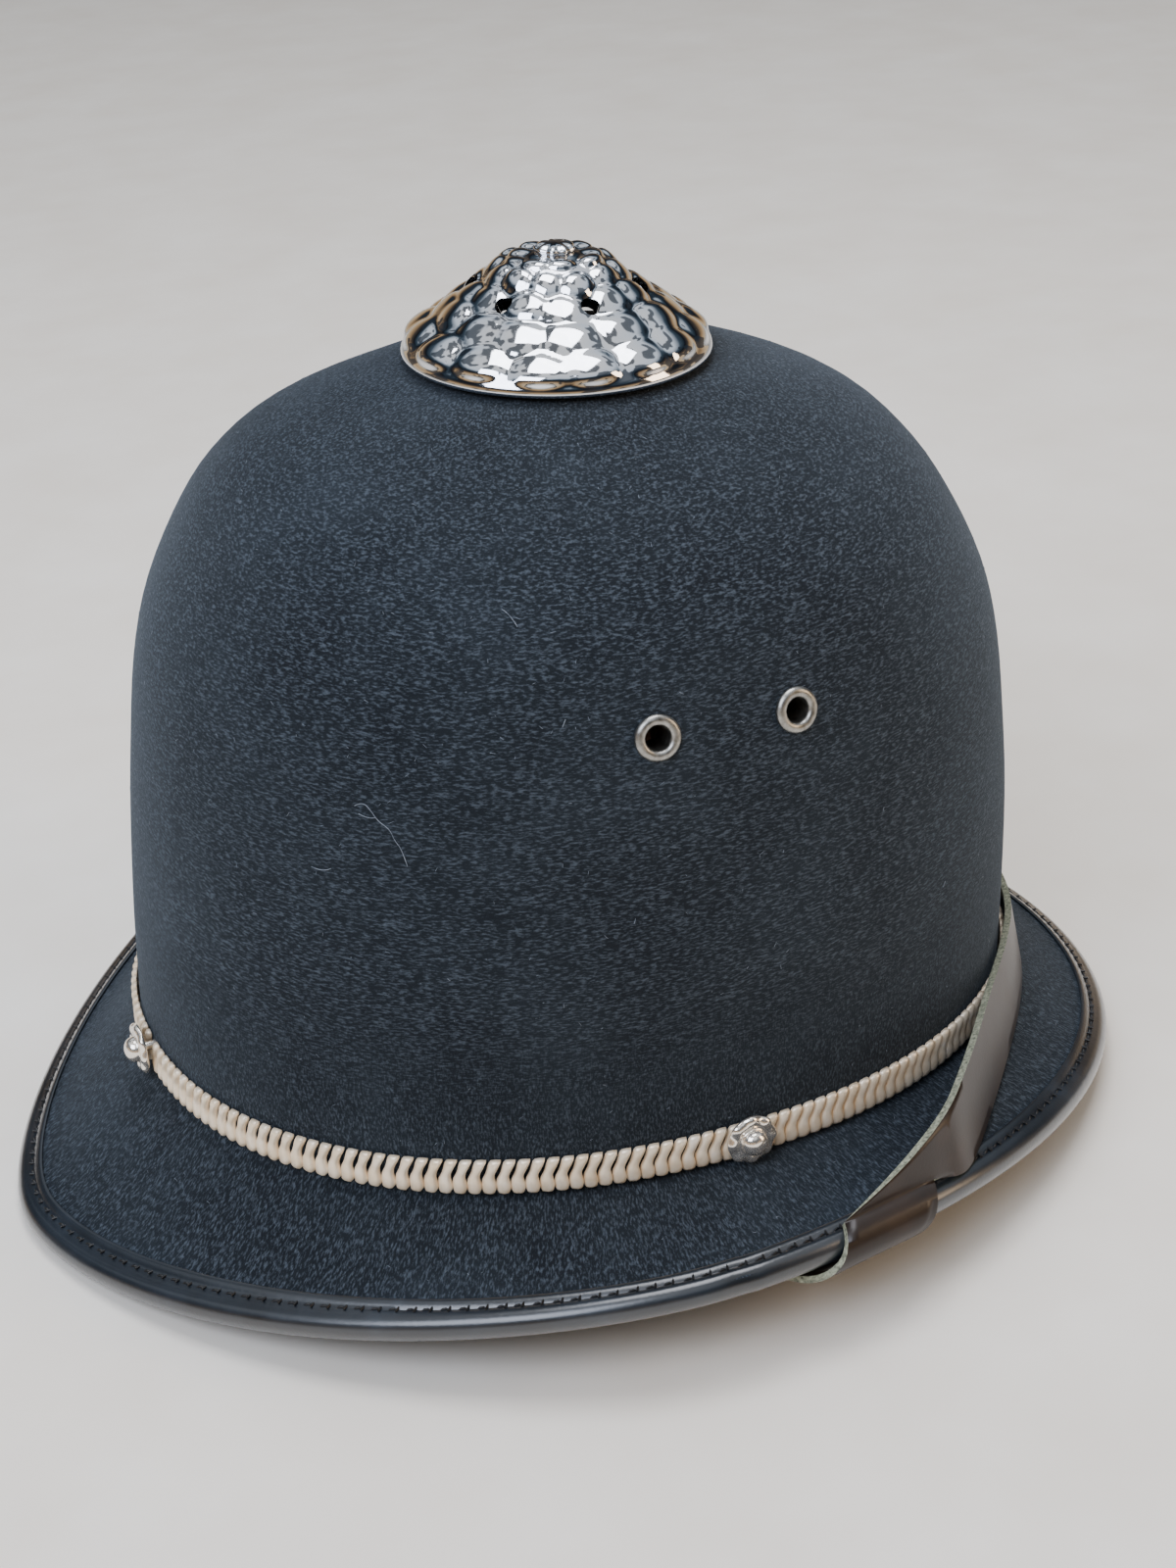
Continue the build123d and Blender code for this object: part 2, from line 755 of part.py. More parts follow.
def head_ring(depth, height):
    """A ring of the headband or sweatband, at a depth inside the headband's outside."""
    return moved(crown_place, oval(head_half_length - depth, head_half_width - depth, height))


def make_headband():
    outside = [head_ring(0, headband_low), head_ring(0, headband_high)]
    inside = [head_ring(headband_thick, headband_high), head_ring(headband_thick, headband_low)]
    return closed_wall(outside + inside)


def make_sweatband():
    """The leather hangs inside the headband, with a rounded hem below it and a top edge that leans in."""
    start = headband_thick + sweatband_gap
    end = start + sweatband_thick
    low = headband_low - sweatband_hem
    middle = (headband_low + sweatband_high) / 2
    sweep = [
        (start, low),
        (start, middle),
        (start + sweatband_lean, sweatband_high),
        (end + sweatband_lean, sweatband_high),
        (end + sweatband_lean * 0.3, middle),
        (end, low),
    ]
    return closed_wall([head_ring(depth, height) for depth, height in sweep])


def support(half_length, half_width, angle):
    """How far the flat that faces an angle lies from the crown's axis."""
    dual = crown_fullness / (crown_fullness - 1)
    return (abs(half_length * cos(angle)) ** dual + abs(half_width * sin(angle)) ** dual) ** (1 / dual)


def make_headband_spacers():
    """Cork blocks that hold the headband off the shell."""
    middle = (headband_low + headband_high) / 2
    blocks = []
    for i in range(spacer_count):
        angle = 2 * pi * round((i + 0.5) * side_count / spacer_count) / side_count
        reach = support(head_half_length, head_half_width, angle) + fit_gap + spacer_depth / 2
        block = Pos(reach, 0, middle) * Box(spacer_depth, spacer_width, spacer_height)
        # each block stands on the flat that faces it, where the flat's middle is
        tangent = (support(head_half_length, head_half_width, angle + pi / side_count)
                   - support(head_half_length, head_half_width, angle - pi / side_count))
        shift = tangent / (2 * sin(pi / side_count))
        blocks.append(crown_place * Rot(0, 0, angle * 180 / pi) * Pos(0, shift, 0) * block)
    return Compound(children=blocks)


def make_cradle_straps():
    """Tapes from the headband up to the crown pad."""
    arms = []
    rise = cradle_top - headband_high
    for i in range(cradle_arms):
        angle = 2 * pi * round(i * side_count / cradle_arms) / side_count
        outer = support(head_half_length, head_half_width, angle) + fit_gap + cradle_thick / 2
        shift = (support(head_half_length, head_half_width, angle + pi / side_count)
                 - support(head_half_length, head_half_width, angle - pi / side_count)) / (2 * sin(pi / side_count))
        inner = crown_pad_radius * 0.5
        places = [(outer + (inner - outer) * a, headband_high + rise * b) for a, b in cradle_shares]
        sections = []
        for k, (radius, height) in enumerate(places):
            before = places[max(k - 1, 0)]
            after = places[min(k + 1, len(places) - 1)]
            run = hypot(after[0] - before[0], after[1] - before[1])
            out = Vector((after[1] - before[1]) / run, 0, -(after[0] - before[0]) / run) * (cradle_thick / 2)
            middle = Vector(radius, shift * (1 - cradle_shares[k][0]), height)
            half = Vector(0, cradle_width / 2, 0) * (1 - 0.35 * cradle_shares[k][0])
            sections.append([middle + half + out, middle - half + out, middle - half - out, middle + half - out])
        arm = capped(sections)
        arms.append(crown_place * Rot(0, 0, angle * 180 / pi) * arm)
    return Compound(children=arms)


def make_crown_pad():
    """The soft pad over the wearer's crown, under the tapes."""
    low = cradle_top - cradle_thick / 2 - fit_gap - crown_pad_thick
    rings = [
        (crown_pad_radius * 0.90, low),
        (crown_pad_radius, low + crown_pad_thick * 0.4),
        (crown_pad_radius * 0.96, low + crown_pad_thick * 0.85),
        (crown_pad_radius * 0.55, low + crown_pad_thick),
    ]
    return crown_place * capped([round_ring(r, z, fixing_side_count) for r, z in rings])


# Chin strap

def unit(heading, dip):
    """A direction from its heading in plan, right of forward, and its dip below level, in degrees."""
    level = cos(radians(dip))
    return Vector(level * cos(radians(heading)), -level * sin(radians(heading)), -sin(radians(dip)))


def strap_place(x, y, z, heading, dip, slant=1.0):
    """A place on the strap: its middle, and half its width as a vector."""
    return Vector(x, y, z), unit(heading, dip) * (strap_width / 2 * slant)


def ring_centres():
    """The two bars of the right strap ring: in the tab and in the strap."""
    wall = crown_width / 2 * crown_shares[0][2] - inner_depth
    tab_bar = Vector(ring_x, -(wall - fit_gap - tab_thick - ring_wire - tab_eye_gap), ring_height)
    drop = radians(ring_drop)
    strap_bar = tab_bar + Vector(0, -cos(drop), -sin(drop)) * ring_reach
    return tab_bar, strap_bar


def share_places(table, rise=0.0):
    """Places of the strap from a table of shares."""
    half_length = brim_length / 2
    return [strap_place(half_length * x, -brim_half_width * y, band_height * z + rise, heading, dip, slant)
            for x, y, z, heading, dip, slant in table]


def between(first, second, share):
    """A place between two places of the strap, or past the second for a share over 1."""
    return first[0] + (second[0] - first[0]) * share, first[1] + (second[1] - first[1]) * share


fold_radius = strap_eye_radius + strap_thick / 2
lap_step = strap_thick + strap_gap


def eye_places():
    """The strap's end: a fold round the ring's outer bar, with the end laid back on the strap."""
    centre = ring_centres()[1]
    foot = strap_place(centre.X, centre.Y, centre.Z - fold_radius, 0, 0)
    first = share_places(strap_under_shares)[0]
    lap = [between(foot, first, share) for share in eye_lap_shares]
    places = [(middle + Vector(0, 0, lap_step), half) for middle, half in lap]
    for angle in eye_angles[::-1]:
        y = centre.Y + fold_radius * cos(radians(angle))
        z = centre.Z + fold_radius * sin(radians(angle))
        places.append(strap_place(centre.X, y, z, 0, 0))
    return places


def edge_y(x, inset):
    """How far out the brim's right side is at a place along it, and the bead's height there."""
    reach_share = ((x + brim_waist_back) / brim_half_front) ** front_fullness
    level = (1 - reach_share) ** (1 / front_fullness)
    return -brim_half_width * level + inset, bead_radius + side_rise * level ** 2


def wrap_places():
    """The strap's turn round the rolled edge, at a slant."""
    radius = bead_radius + wrap_gap + strap_thick / 2
    places = []
    for angle, along_share in wrap_shares:
        x = brim_length / 2 * along_share
        y, z = edge_y(x, bead_radius)
        out = radius * cos(radians(angle))
        up = radius * sin(radians(angle))
        places.append(strap_place(x, y - out, z + up, -wrap_heading, 0, wrap_slant))
    return places


def front_places():
    """The strap round the front of the crown, outside the chain."""
    places = []
    shares = share_at(strap_front_height)
    for angle in strap_front_angles:
        t = radians(angle)
        size = (abs(cos(t)) ** crown_fullness + abs(sin(t)) ** crown_fullness) ** (-1 / crown_fullness)
        x = crown_length / 2 * shares[1] * size * cos(t)
        y = crown_width / 2 * shares[2] * size * sin(t)
        slope = Vector(abs(x) ** (crown_fullness - 1) / (crown_length / 2) ** crown_fullness,
                       -abs(y) ** (crown_fullness - 1) / (crown_width / 2) ** crown_fullness, 0).normalized()
        point = Vector(x, y, strap_front_height) + slope * strap_wall_stand
        middle = moved(crown_place, [point])[0]
        level = cos(radians(strap_front_dip))
        half = Vector(slope.X * level, slope.Y * level, -sin(radians(strap_front_dip))) * (strap_width / 2)
        places.append((middle, half))
    return places


def right_places():
    """The strap's right half, from its eye to the middle of the front."""
    run = share_places(strap_run_shares)
    return eye_places() + share_places(strap_under_shares) + wrap_places() + run + front_places()


def flip(places):
    """Places carried to the other side."""
    return [(Vector(m.X, -m.Y, m.Z), Vector(h.X, -h.Y, h.Z)) for m, h in places]


def outward(places, k):
    """The strap's own facing at a place, away from the helmet."""
    middle, half = places[k]
    run = Vector(0, 0, 0)
    if k > 0:
        run += (middle - places[k - 1][0]).normalized()
    if k < len(places) - 1:
        run += (places[k + 1][0] - middle).normalized()
    return half.cross(run).normalized()


def strap_solid(places):
    """The strap through its places. Its thickness is square to its run and its width."""
    sections = []
    for k, (middle, half) in enumerate(places):
        across = outward(places, k) * (strap_thick / 2)
        sections.append([middle + half - across, middle - half - across,
                         middle - half + across, middle + half + across])
    return capped(sections)


# Buckle, in its own frame: x along the strap to the front, y up across it, z out from the helmet

left_run = share_places(strap_run_shares, left_raise)
bar_middle, bar_half = left_run[4]
buckle_out = outward(left_run, 4)
buckle_plane = Plane(bar_middle + buckle_out * buckle_stand, x_dir=buckle_out.cross(bar_half), z_dir=buckle_out)
frame_half = strap_width / 2 + strap_gap * 2 + buckle_rail


def buckle_place(along, out):
    """A place of the strap in the buckle's frame."""
    middle = buckle_plane.from_local_coords(Vector(along, 0, out))
    return middle, buckle_plane.y_dir * (-strap_width / 2)


def short_run():
    """The short strap from its ring to the buckle, before it turns round the bar."""
    lead = buckle_place(-lap_length * 0.6, -fold_radius)
    return eye_places() + share_places(strap_under_shares) + wrap_places() + left_run[:4] + [lead]


def make_chin_strap_short():
    """The short strap on the left, drawn on the right: to the buckle's bar, round it and back."""
    fold = [buckle_place(fold_radius * cos(radians(angle)), fold_radius * sin(radians(angle)))
            for angle in eye_angles]
    lap = [buckle_place(-lap_length * share, lap_step - fold_radius) for share in (0.5, 1.0)]
    strap = strap_solid(short_run() + fold + lap)
    reach = fold_radius + strap_thick
    slot = Pos((reach - prong_slot_back) / 2, 0, 0) * Box(reach + prong_slot_back, prong_slot_width, reach * 2)
    return mirrored(strap - buckle_plane.location * slot)


def over_strap(share):
    """A place over the short strap, behind its lap."""
    run = short_run()
    near = len(run) - 2
    middle, half = between(run[near], run[near - 1], share)
    return middle + outward(run, near) * lap_step, half


def tail_places():
    """The long strap's end on the left: under the front bar, up over the buckle's bar and back."""
    under_bar = buckle_rail + strap_gap + strap_thick / 2
    over_bar = fold_radius + lap_step
    over_lap = lap_step * 2 - fold_radius
    return [
        buckle_place(buckle_length + tail_rise, -under_bar / 3),
        buckle_place(buckle_length - buckle_rail, -under_bar),
        buckle_place(buckle_length * 0.25, over_bar),
        buckle_place(-fold_radius / 2, over_bar),
        buckle_place(-lap_length * 0.5, over_lap),
        buckle_place(-lap_length * 1.05, over_lap),
    ] + [over_strap(share) for share in tail_shares]


def make_chin_strap_long():
    """From the right ring over the front peak to the buckle on the left."""
    left_front = [(middle + Vector(0, 0, left_raise / 2), half) for middle, half in front_places()[-2::-1]]
    strap = strap_solid(right_places() + flip(left_front + tail_places()))
    slot_end = buckle_length * prong_slot_end_share
    slot = Pos((slot_end - prong_slot_back) / 2, 0, 0) * Box(
        slot_end + prong_slot_back, prong_slot_width, fold_radius * 6)
    return strap - mirrored(buckle_plane.location * slot)


def keeper_plane():
    """The keeper's own frame: x along the strap to the front, z out from the helmet."""
    run = short_run()
    near = len(run) - 2
    middle, half = between(run[near], run[near - 1], keeper_share)
    along = (run[near][0] - run[near - 1][0]).normalized()
    out = half.cross(along).normalized()
    return Plane(middle + out * (lap_step / 2), x_dir=along, z_dir=out)


def wire_loop(half_x, half_y, wire, centre_x):
    """A rectangular wire ring in the XY plane, of eight sided wire with cut corners."""
    cut = wire * 2
    corners = [
        (half_x, half_y - cut), (half_x - cut, half_y), (-half_x + cut, half_y), (-half_x, half_y - cut),
        (-half_x, -half_y + cut), (-half_x + cut, -half_y), (half_x - cut, -half_y), (half_x, -half_y + cut),
    ]
    rings = []
    for k in range(8):
        angle = 2 * pi * k / 8 + pi / 8
        out = wire * cos(angle) / cos(pi / 8)
        up = wire * sin(angle) / cos(pi / 8)
        spread_x = 1 + out / half_x
        spread_y = 1 + out / half_y
        rings.append([Vector(centre_x + x * spread_x, y * spread_y, up) for x, y in corners])
    return closed_wall(rings)


def make_buckle_frame():
    half_x = buckle_length / 2
    loop = wire_loop(half_x, frame_half, buckle_rail * 0.92, half_x)
    return mirrored(buckle_plane.location * loop)


def make_buckle_prong():
    """The prong: an eye round the bar and a pin that rests on the front bar."""
    bore = buckle_rail + prong_gap
    outer = bore + prong_wire
    eye = Rot(90, 0, 0) * closed_wall([
        round_ring(outer, -prong_eye_width / 2, fixing_side_count),
        round_ring(outer, prong_eye_width / 2, fixing_side_count),
        round_ring(bore, prong_eye_width / 2, fixing_side_count),
        round_ring(bore, -prong_eye_width / 2, fixing_side_count),
    ])
    tip_height = buckle_rail + prong_wire + prong_gap
    start = Vector(bore + prong_wire / 2, 0, prong_wire / 2)
    end = Vector(buckle_length + buckle_rail, 0, tip_height)
    heading = (end - start).normalized()
    side = Vector(0, 1, 0)
    up = heading.cross(side) * -1
    sections = []
    for place, size in ((start, 1.0), (start + (end - start) * 0.9, 1.0), (end + heading * prong_wire, 0.5)):
        ring = []
        for k in range(8):
            angle = 2 * pi * (k + 0.5) / 8
            ring.append(place + side * (prong_wire * size * cos(angle)) + up * (prong_wire * size * sin(angle)))
        sections.append(ring)
    pin = capped(sections)
    return mirrored(buckle_plane.location * (eye + pin))


def make_strap_keeper():
    """The leather loop that holds the strap's tail."""
    high = lap_step + strap_thick + keeper_gap * 2
    wide = strap_width + keeper_gap * 2
    hole = Box(keeper_length + overrun, wide, high)
    body = Box(keeper_length, wide + keeper_thick * 2, high + keeper_thick * 2)
    return mirrored(keeper_plane().location * (body - hole))


def make_strap_ring():
    """The rectangular wire ring between the tab and the strap, on the right."""
    tab_bar, strap_bar = ring_centres()
    heading = (strap_bar - tab_bar).normalized()
    plane = Plane(tab_bar, x_dir=heading, z_dir=heading.cross(Vector(1, 0, 0)))
    half_x = ring_reach / 2
    half_y = (strap_width + ring_play) / 2 + ring_wire
    return plane.location * wire_loop(half_x, half_y, ring_wire * 0.92, half_x)


def make_strap_tab():
    """The folded tab that holds the ring: two layers against the cork, round the ring's inner bar."""
    bar = ring_centres()[0]
    radius = ring_wire + tab_eye_gap + tab_thick / 2
    high = bar.Z + tab_height
    path = [(bar.Y - radius, high), (bar.Y - radius, bar.Z)]
    for angle in (225, 270, 315, 360):
        path.append((bar.Y + radius * cos(radians(angle)), bar.Z + radius * sin(radians(angle))))
    path.append((bar.Y - radius + tab_thick + stack_gap, bar.Z + radius * 2.2))
    path.append((bar.Y - radius + tab_thick + stack_gap, high))
    places = [(Vector(bar.X, y, z), Vector(tab_width / 2, 0, 0)) for y, z in path]
    sections = []
    for k, (middle, half) in enumerate(places):
        before = places[max(k - 1, 0)][0]
        after = places[min(k + 1, len(places) - 1)][0]
        run = after - before
        across = run.cross(half).normalized() * (tab_thick / 2)
        sections.append([middle + half + across, middle - half + across,
                         middle - half - across, middle + half - across])
    return capped(sections)


def make_tab_rivets():
    """The heads of the two rivets that hold a tab to the cork."""
    bar = ring_centres()[0]
    radius = ring_wire + tab_eye_gap + tab_thick / 2
    inner_face = bar.Y - radius + tab_thick * 1.5 + stack_gap
    rivets = []
    for side in (-1, 1):
        place = Pos(bar.X + side * tab_width / 4, inner_face + stack_gap, bar.Z + tab_height * 0.72) * Rot(-90, 0, 0)
        head = capped([
            round_ring(rivet_radius, 0, rivet_side_count),
            round_ring(rivet_radius * 0.6, rivet_head, rivet_side_count),
        ])
        rivets.append(place * head)
    return rivets


# Build

def write(name, shape):
    shape.label = name
    export_step(shape, f"parts/{name}.step")


os.makedirs("parts", exist_ok=True)

cuts = wall_cuts()
felt_cover = make_felt_cover()
cork_shell = make_cork_shell()
write("felt_cover", felt_cover - cuts)
write("cork_shell", cork_shell - cuts)
write("brim_underlining", make_brim_underlining())
write("brim_binding", make_brim_binding())

write("chain_band", make_chain_band())
rosette = make_rosette()
rosette_washer = make_rosette_washer()
planes = rosette_planes()
for name, plane in planes.items():
    write(f"{name}_rosette", crown_place * plane.location * rosette)
write("rosette_washers", Compound(children=[crown_place * plane.location * rosette_washer
                                            for plane in planes.values()]))

write("rose_top", make_rose_top())
write("rose_stud", make_rose_stud())
write("vent_collar", make_vent_collar())
write("stud_bridge", make_stud_bridge())
write("stud_washer", make_stud_washer())
write("wing_nut", make_wing_nut())

eyelet = make_eyelet()
vent_washer = make_vent_washer()
write("vent_eyelets", Compound(children=[crown_place * plane.location * eyelet for plane in vent_planes()]))
write("vent_washers", Compound(children=[crown_place * plane.location * vent_washer for plane in vent_planes()]))

write("headband", make_headband())
write("sweatband", make_sweatband())
write("headband_spacers", make_headband_spacers())
write("cradle_straps", make_cradle_straps())
write("crown_pad", make_crown_pad())

write("chin_strap_long", make_chin_strap_long())
write("chin_strap_short", make_chin_strap_short())
write("buckle_frame", make_buckle_frame())
write("buckle_prong", make_buckle_prong())
write("strap_keeper", make_strap_keeper())
strap_ring = make_strap_ring()
strap_tab = make_strap_tab()
write("right_strap_ring", strap_ring)
write("left_strap_ring", mirrored(strap_ring))
write("right_strap_tab", strap_tab)
write("left_strap_tab", mirrored(strap_tab))
rivets = make_tab_rivets()
write("tab_rivets", Compound(children=rivets + [mirrored(rivet) for rivet in rivets]))
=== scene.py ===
# %% [markdown]
# # A custodian helmet
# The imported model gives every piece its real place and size. Here each visible piece is modelled again with
# its finish: felt, bound leather edge, chain band, pressed chrome rose, eyelets and strap. Hidden hardware
# keeps its own shape, softened and given its metal. Everything is in metres, in the model's own frame.

# %% Load the frame
import bpy
import random
from math import cos, exp, hypot, log, pi, radians, sin
from mathutils import Matrix, Vector
from mathutils.bvhtree import BVHTree


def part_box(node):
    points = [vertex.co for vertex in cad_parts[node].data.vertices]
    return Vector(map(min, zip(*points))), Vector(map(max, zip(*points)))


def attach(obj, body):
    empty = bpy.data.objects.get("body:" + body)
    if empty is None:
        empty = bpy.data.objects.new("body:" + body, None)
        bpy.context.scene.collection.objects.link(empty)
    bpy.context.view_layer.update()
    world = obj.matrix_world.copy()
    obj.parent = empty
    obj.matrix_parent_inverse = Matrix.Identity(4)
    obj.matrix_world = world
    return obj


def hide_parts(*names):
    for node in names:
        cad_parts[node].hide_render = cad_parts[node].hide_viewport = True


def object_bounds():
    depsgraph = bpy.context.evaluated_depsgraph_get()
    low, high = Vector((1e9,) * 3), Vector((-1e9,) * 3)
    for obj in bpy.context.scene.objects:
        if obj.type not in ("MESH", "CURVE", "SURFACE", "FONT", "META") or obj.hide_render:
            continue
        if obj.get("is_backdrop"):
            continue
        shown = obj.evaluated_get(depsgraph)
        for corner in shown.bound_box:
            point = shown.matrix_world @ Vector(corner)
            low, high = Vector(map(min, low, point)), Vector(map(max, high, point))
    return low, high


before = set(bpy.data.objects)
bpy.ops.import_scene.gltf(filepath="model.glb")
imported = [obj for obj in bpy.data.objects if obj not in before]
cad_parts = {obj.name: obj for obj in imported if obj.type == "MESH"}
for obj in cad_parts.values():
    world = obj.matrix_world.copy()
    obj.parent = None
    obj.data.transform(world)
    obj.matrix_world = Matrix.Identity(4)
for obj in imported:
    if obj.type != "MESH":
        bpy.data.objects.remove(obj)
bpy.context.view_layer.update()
mm = 0.001
merge_distance = 2e-6

# %% [markdown]
# ## Small tools for modelling
# An operator acts on all that is selected, so each tool starts from nothing selected. A wall of the helmet
# could be a lathe turning, but its plan isn't round, so a grid primitive is laid onto a formula instead: one
# way of the grid goes round the helmet, the other goes round the wall's section, and its seams are merged.

# %% Selection and edit mode
def pick(*pieces):
    if bpy.context.mode != "OBJECT":
        bpy.ops.object.mode_set(mode="OBJECT")
    bpy.ops.object.select_all(action="DESELECT")
    for piece in pieces:
        piece.select_set(True)
    if pieces:
        bpy.context.view_layer.objects.active = pieces[0]


def mend(piece, outwards=True, flat_limit=None):
    """Merges doubles, can join flat neighbours into one face, and turns the faces outwards."""
    pick(piece)
    bpy.ops.object.mode_set(mode="EDIT")
    bpy.ops.mesh.select_all(action="SELECT")
    bpy.ops.mesh.remove_doubles(threshold=merge_distance)
    if flat_limit is not None:
        bpy.ops.mesh.dissolve_limited(angle_limit=flat_limit)
    if outwards:
        bpy.ops.mesh.normals_make_consistent(inside=False)
    bpy.ops.object.mode_set(mode="OBJECT")


def smooth(piece, degrees=40):
    pick(piece)
    bpy.ops.object.shade_smooth_by_angle(angle=radians(degrees))


def apply_modifier(piece, kind, **settings):
    pick(piece)
    modifier = piece.modifiers.new(kind.title(), kind)
    for name, value in settings.items():
        setattr(modifier, name, value)
    bpy.ops.object.modifier_apply(modifier=modifier.name)


def wrapped(name, around, along, place, degrees=40):
    """A grid primitive laid onto place(turn, part), in millimetres, with its seams and poles merged."""
    pick()
    bpy.ops.mesh.primitive_grid_add(x_subdivisions=around, y_subdivisions=along, size=1)
    piece = bpy.context.object
    piece.name = name
    for vertex in piece.data.vertices:
        vertex.co = place(vertex.co.x + 0.5, vertex.co.y + 0.5) * mm
    mend(piece)
    smooth(piece, degrees)
    return piece


def seat(piece, material, node, body="helmet"):
    """Gives a finished piece its material and its body, and hides the imported node that it stands for."""
    if material is not None:
        piece.data.materials.clear()
        piece.data.materials.append(material)
    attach(piece, body)
    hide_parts(node)
    print(piece.name, len(piece.data.polygons), "faces")
    return piece


def repeated(name, piece, places):
    """One mesh of many copies of a small piece, one at each matrix."""
    copies = []
    for place in places:
        mesh = piece.data.copy()
        mesh.transform(place)
        copy = bpy.data.objects.new(name, mesh)
        bpy.context.scene.collection.objects.link(copy)
        copies.append(copy)
    bpy.data.objects.remove(piece)
    pick(*copies)
    bpy.ops.object.join()
    joined = bpy.context.object
    joined.name = name
    return joined


def facing(place, outward, upward=Vector((0, 0, 1))):
    """A matrix at a place in millimetres: local Z points outward and local Y as nearly upward as it can."""
    z = outward.normalized()
    x = upward.cross(z).normalized()
    y = z.cross(x)
    turned = Matrix((x, y, z)).transposed().to_4x4()
    return Matrix.Translation(place * mm) @ turned


def spline(table, part):
    """A smooth value of a table's rows at a part from 0 to 1 of the way along them."""
    at = min(max(part, 0.0), 1.0) * (len(table) - 1)
    i = min(int(at), len(table) - 2)
    t = at - i
    before, first, second, after = (table[min(max(k, 0), len(table) - 1)] for k in (i - 1, i, i + 1, i + 2))
    return [b + 0.5 * t * (c - a + t * (2 * a - 5 * b + 4 * c - d + t * (3 * (b - c) + d - a)))
            for a, b, c, d in zip(before, first, second, after)]


print("tools ready")

# %% [markdown]
# ## Small tools for materials
# Every finish is a node tree on Object coordinates, so a pattern's size is a real size. A pattern's scale is
# one over its size in metres. Colours are written as hex values, as a painter would give them, and turned
# to linear light once.

# %% Nodes, colours and patterns
def linear(code):
    channels = [int(code[k:k + 2], 16) / 255 for k in (1, 3, 5)]
    return tuple(c / 12.92 if c <= 0.04045 else ((c + 0.055) / 1.055) ** 2.4 for c in channels) + (1.0,)


def add(tree, kind, inputs=None, **settings):
    """Adds a node, sets its properties, and gives each input a value or a link."""
    node = tree.nodes.new(kind)
    for name, value in settings.items():
        setattr(node, name, value)
    for name, value in (inputs or {}).items():
        if isinstance(value, bpy.types.NodeSocket):
            tree.links.new(value, node.inputs[name])
        else:
            node.inputs[name].default_value = value
    return node


def material(name, **shader):
    """A new material: its tree, its shader with constants on its own sockets, and object coordinates."""
    made = bpy.data.materials.new(name)
    made.use_nodes = True
    tree = made.node_tree
    base = tree.nodes["Principled BSDF"]
    for socket, value in shader.items():
        base.inputs[socket.replace("_", " ")].default_value = value
    return made, tree, base, add(tree, "ShaderNodeTexCoord").outputs["Object"]


def pattern(tree, place, size_mm, stretch=(1, 1, 1), detail=3.0):
    """Cloudy noise whose patches are about size_mm across."""
    turned = add(tree, "ShaderNodeMapping", {"Vector": place, "Scale": stretch})
    return add(tree, "ShaderNodeTexNoise", {"Vector": turned.outputs["Vector"], "Scale": 1 / (size_mm * mm),
                                            "Detail": detail, "Roughness": 0.6}).outputs["Fac"]


def cells(tree, place, size_mm, feature="F1", output="Distance"):
    """Cells about size_mm across, as in cork or grained leather."""
    return add(tree, "ShaderNodeTexVoronoi", {"Vector": place, "Scale": 1 / (size_mm * mm)},
               feature=feature).outputs[output]


def ramp(tree, value, *stops):
    """Turns a value into a colour: each stop is a place and a hex colour."""
    node = add(tree, "ShaderNodeValToRGB", {"Fac": value})
    elements = node.color_ramp.elements
    while len(elements) < len(stops):
        elements.new(0.5)
    for element, (at, code) in zip(elements, stops):
        element.position = at
        element.color = linear(code)
    return node.outputs["Color"]


def blend(tree, share, first, second):
    mix = add(tree, "ShaderNodeMix", {"Factor": share}, data_type="RGBA")
    for socket, value in zip((mix.inputs[6], mix.inputs[7]), (first, second)):
        if isinstance(value, str):
            socket.default_value = linear(value)
        else:
            tree.links.new(value, socket)
    return mix.outputs[2]


def bumped(tree, base, height, deep_mm, strength=1.0):
    """Bump whose full height is deep_mm."""
    bump = add(tree, "ShaderNodeBump", {"Height": height, "Distance": deep_mm * mm, "Strength": strength})
    if base.inputs["Normal"].is_linked:
        tree.links.new(base.inputs["Normal"].links[0].from_socket, bump.inputs["Normal"])
    tree.links.new(bump.outputs["Normal"], base.inputs["Normal"])


def rough(tree, base, value, low, high):
    spread = add(tree, "ShaderNodeMapRange", {"Value": value, "To Min": low, "To Max": high})
    tree.links.new(spread.outputs["Result"], base.inputs["Roughness"])


def colour(tree, base, socket):
    tree.links.new(socket, base.inputs["Base Color"])


print("material tools ready")

# %% [markdown]
# ## Wool felt
# The cover is black wool felt, steamed over the shell and brushed. Matt, with a short nap that lies down the
# crown and catches a blue-grey light at grazing angles, so it has a sheen. Its flecks lie round the crown and
# outwards on the brim, so their pattern is laid on a distance round, a distance from the middle and a height.
# The nap is finer than a pixel, so it is drawn about 0.7 mm across. Bits of pale dust sit in it.

# %% Felt
felt, tree, base, place = material("Wool felt, black", Roughness=0.94, Specular_IOR_Level=0.12,
                                   Sheen_Weight=0.24, Sheen_Roughness=0.45, Sheen_Tint=linear("#AEBCCA"))
level = add(tree, "ShaderNodeSeparateXYZ", {"Vector": place}).outputs["Z"]
heading = add(tree, "ShaderNodeTexGradient", {"Vector": place}, gradient_type="RADIAL").outputs["Fac"]
flat = add(tree, "ShaderNodeVectorMath", {0: place, 1: (1, 1, 0)}, operation="MULTIPLY").outputs["Vector"]
away = add(tree, "ShaderNodeVectorMath", {0: flat}, operation="LENGTH").outputs["Value"]
metres_round = 0.7
distance_round = add(tree, "ShaderNodeMath", {0: heading, 1: metres_round}, operation="MULTIPLY").outputs[0]
rolled = add(tree, "ShaderNodeCombineXYZ", {"X": distance_round, "Y": away, "Z": level}).outputs["Vector"]
nap_mm = 0.7
crown_nap = pattern(tree, rolled, nap_mm, (0.42, 0.8, 1.5), 4.0)
brim_nap = pattern(tree, rolled, nap_mm, (1.5, 0.42, 0.6), 4.0)
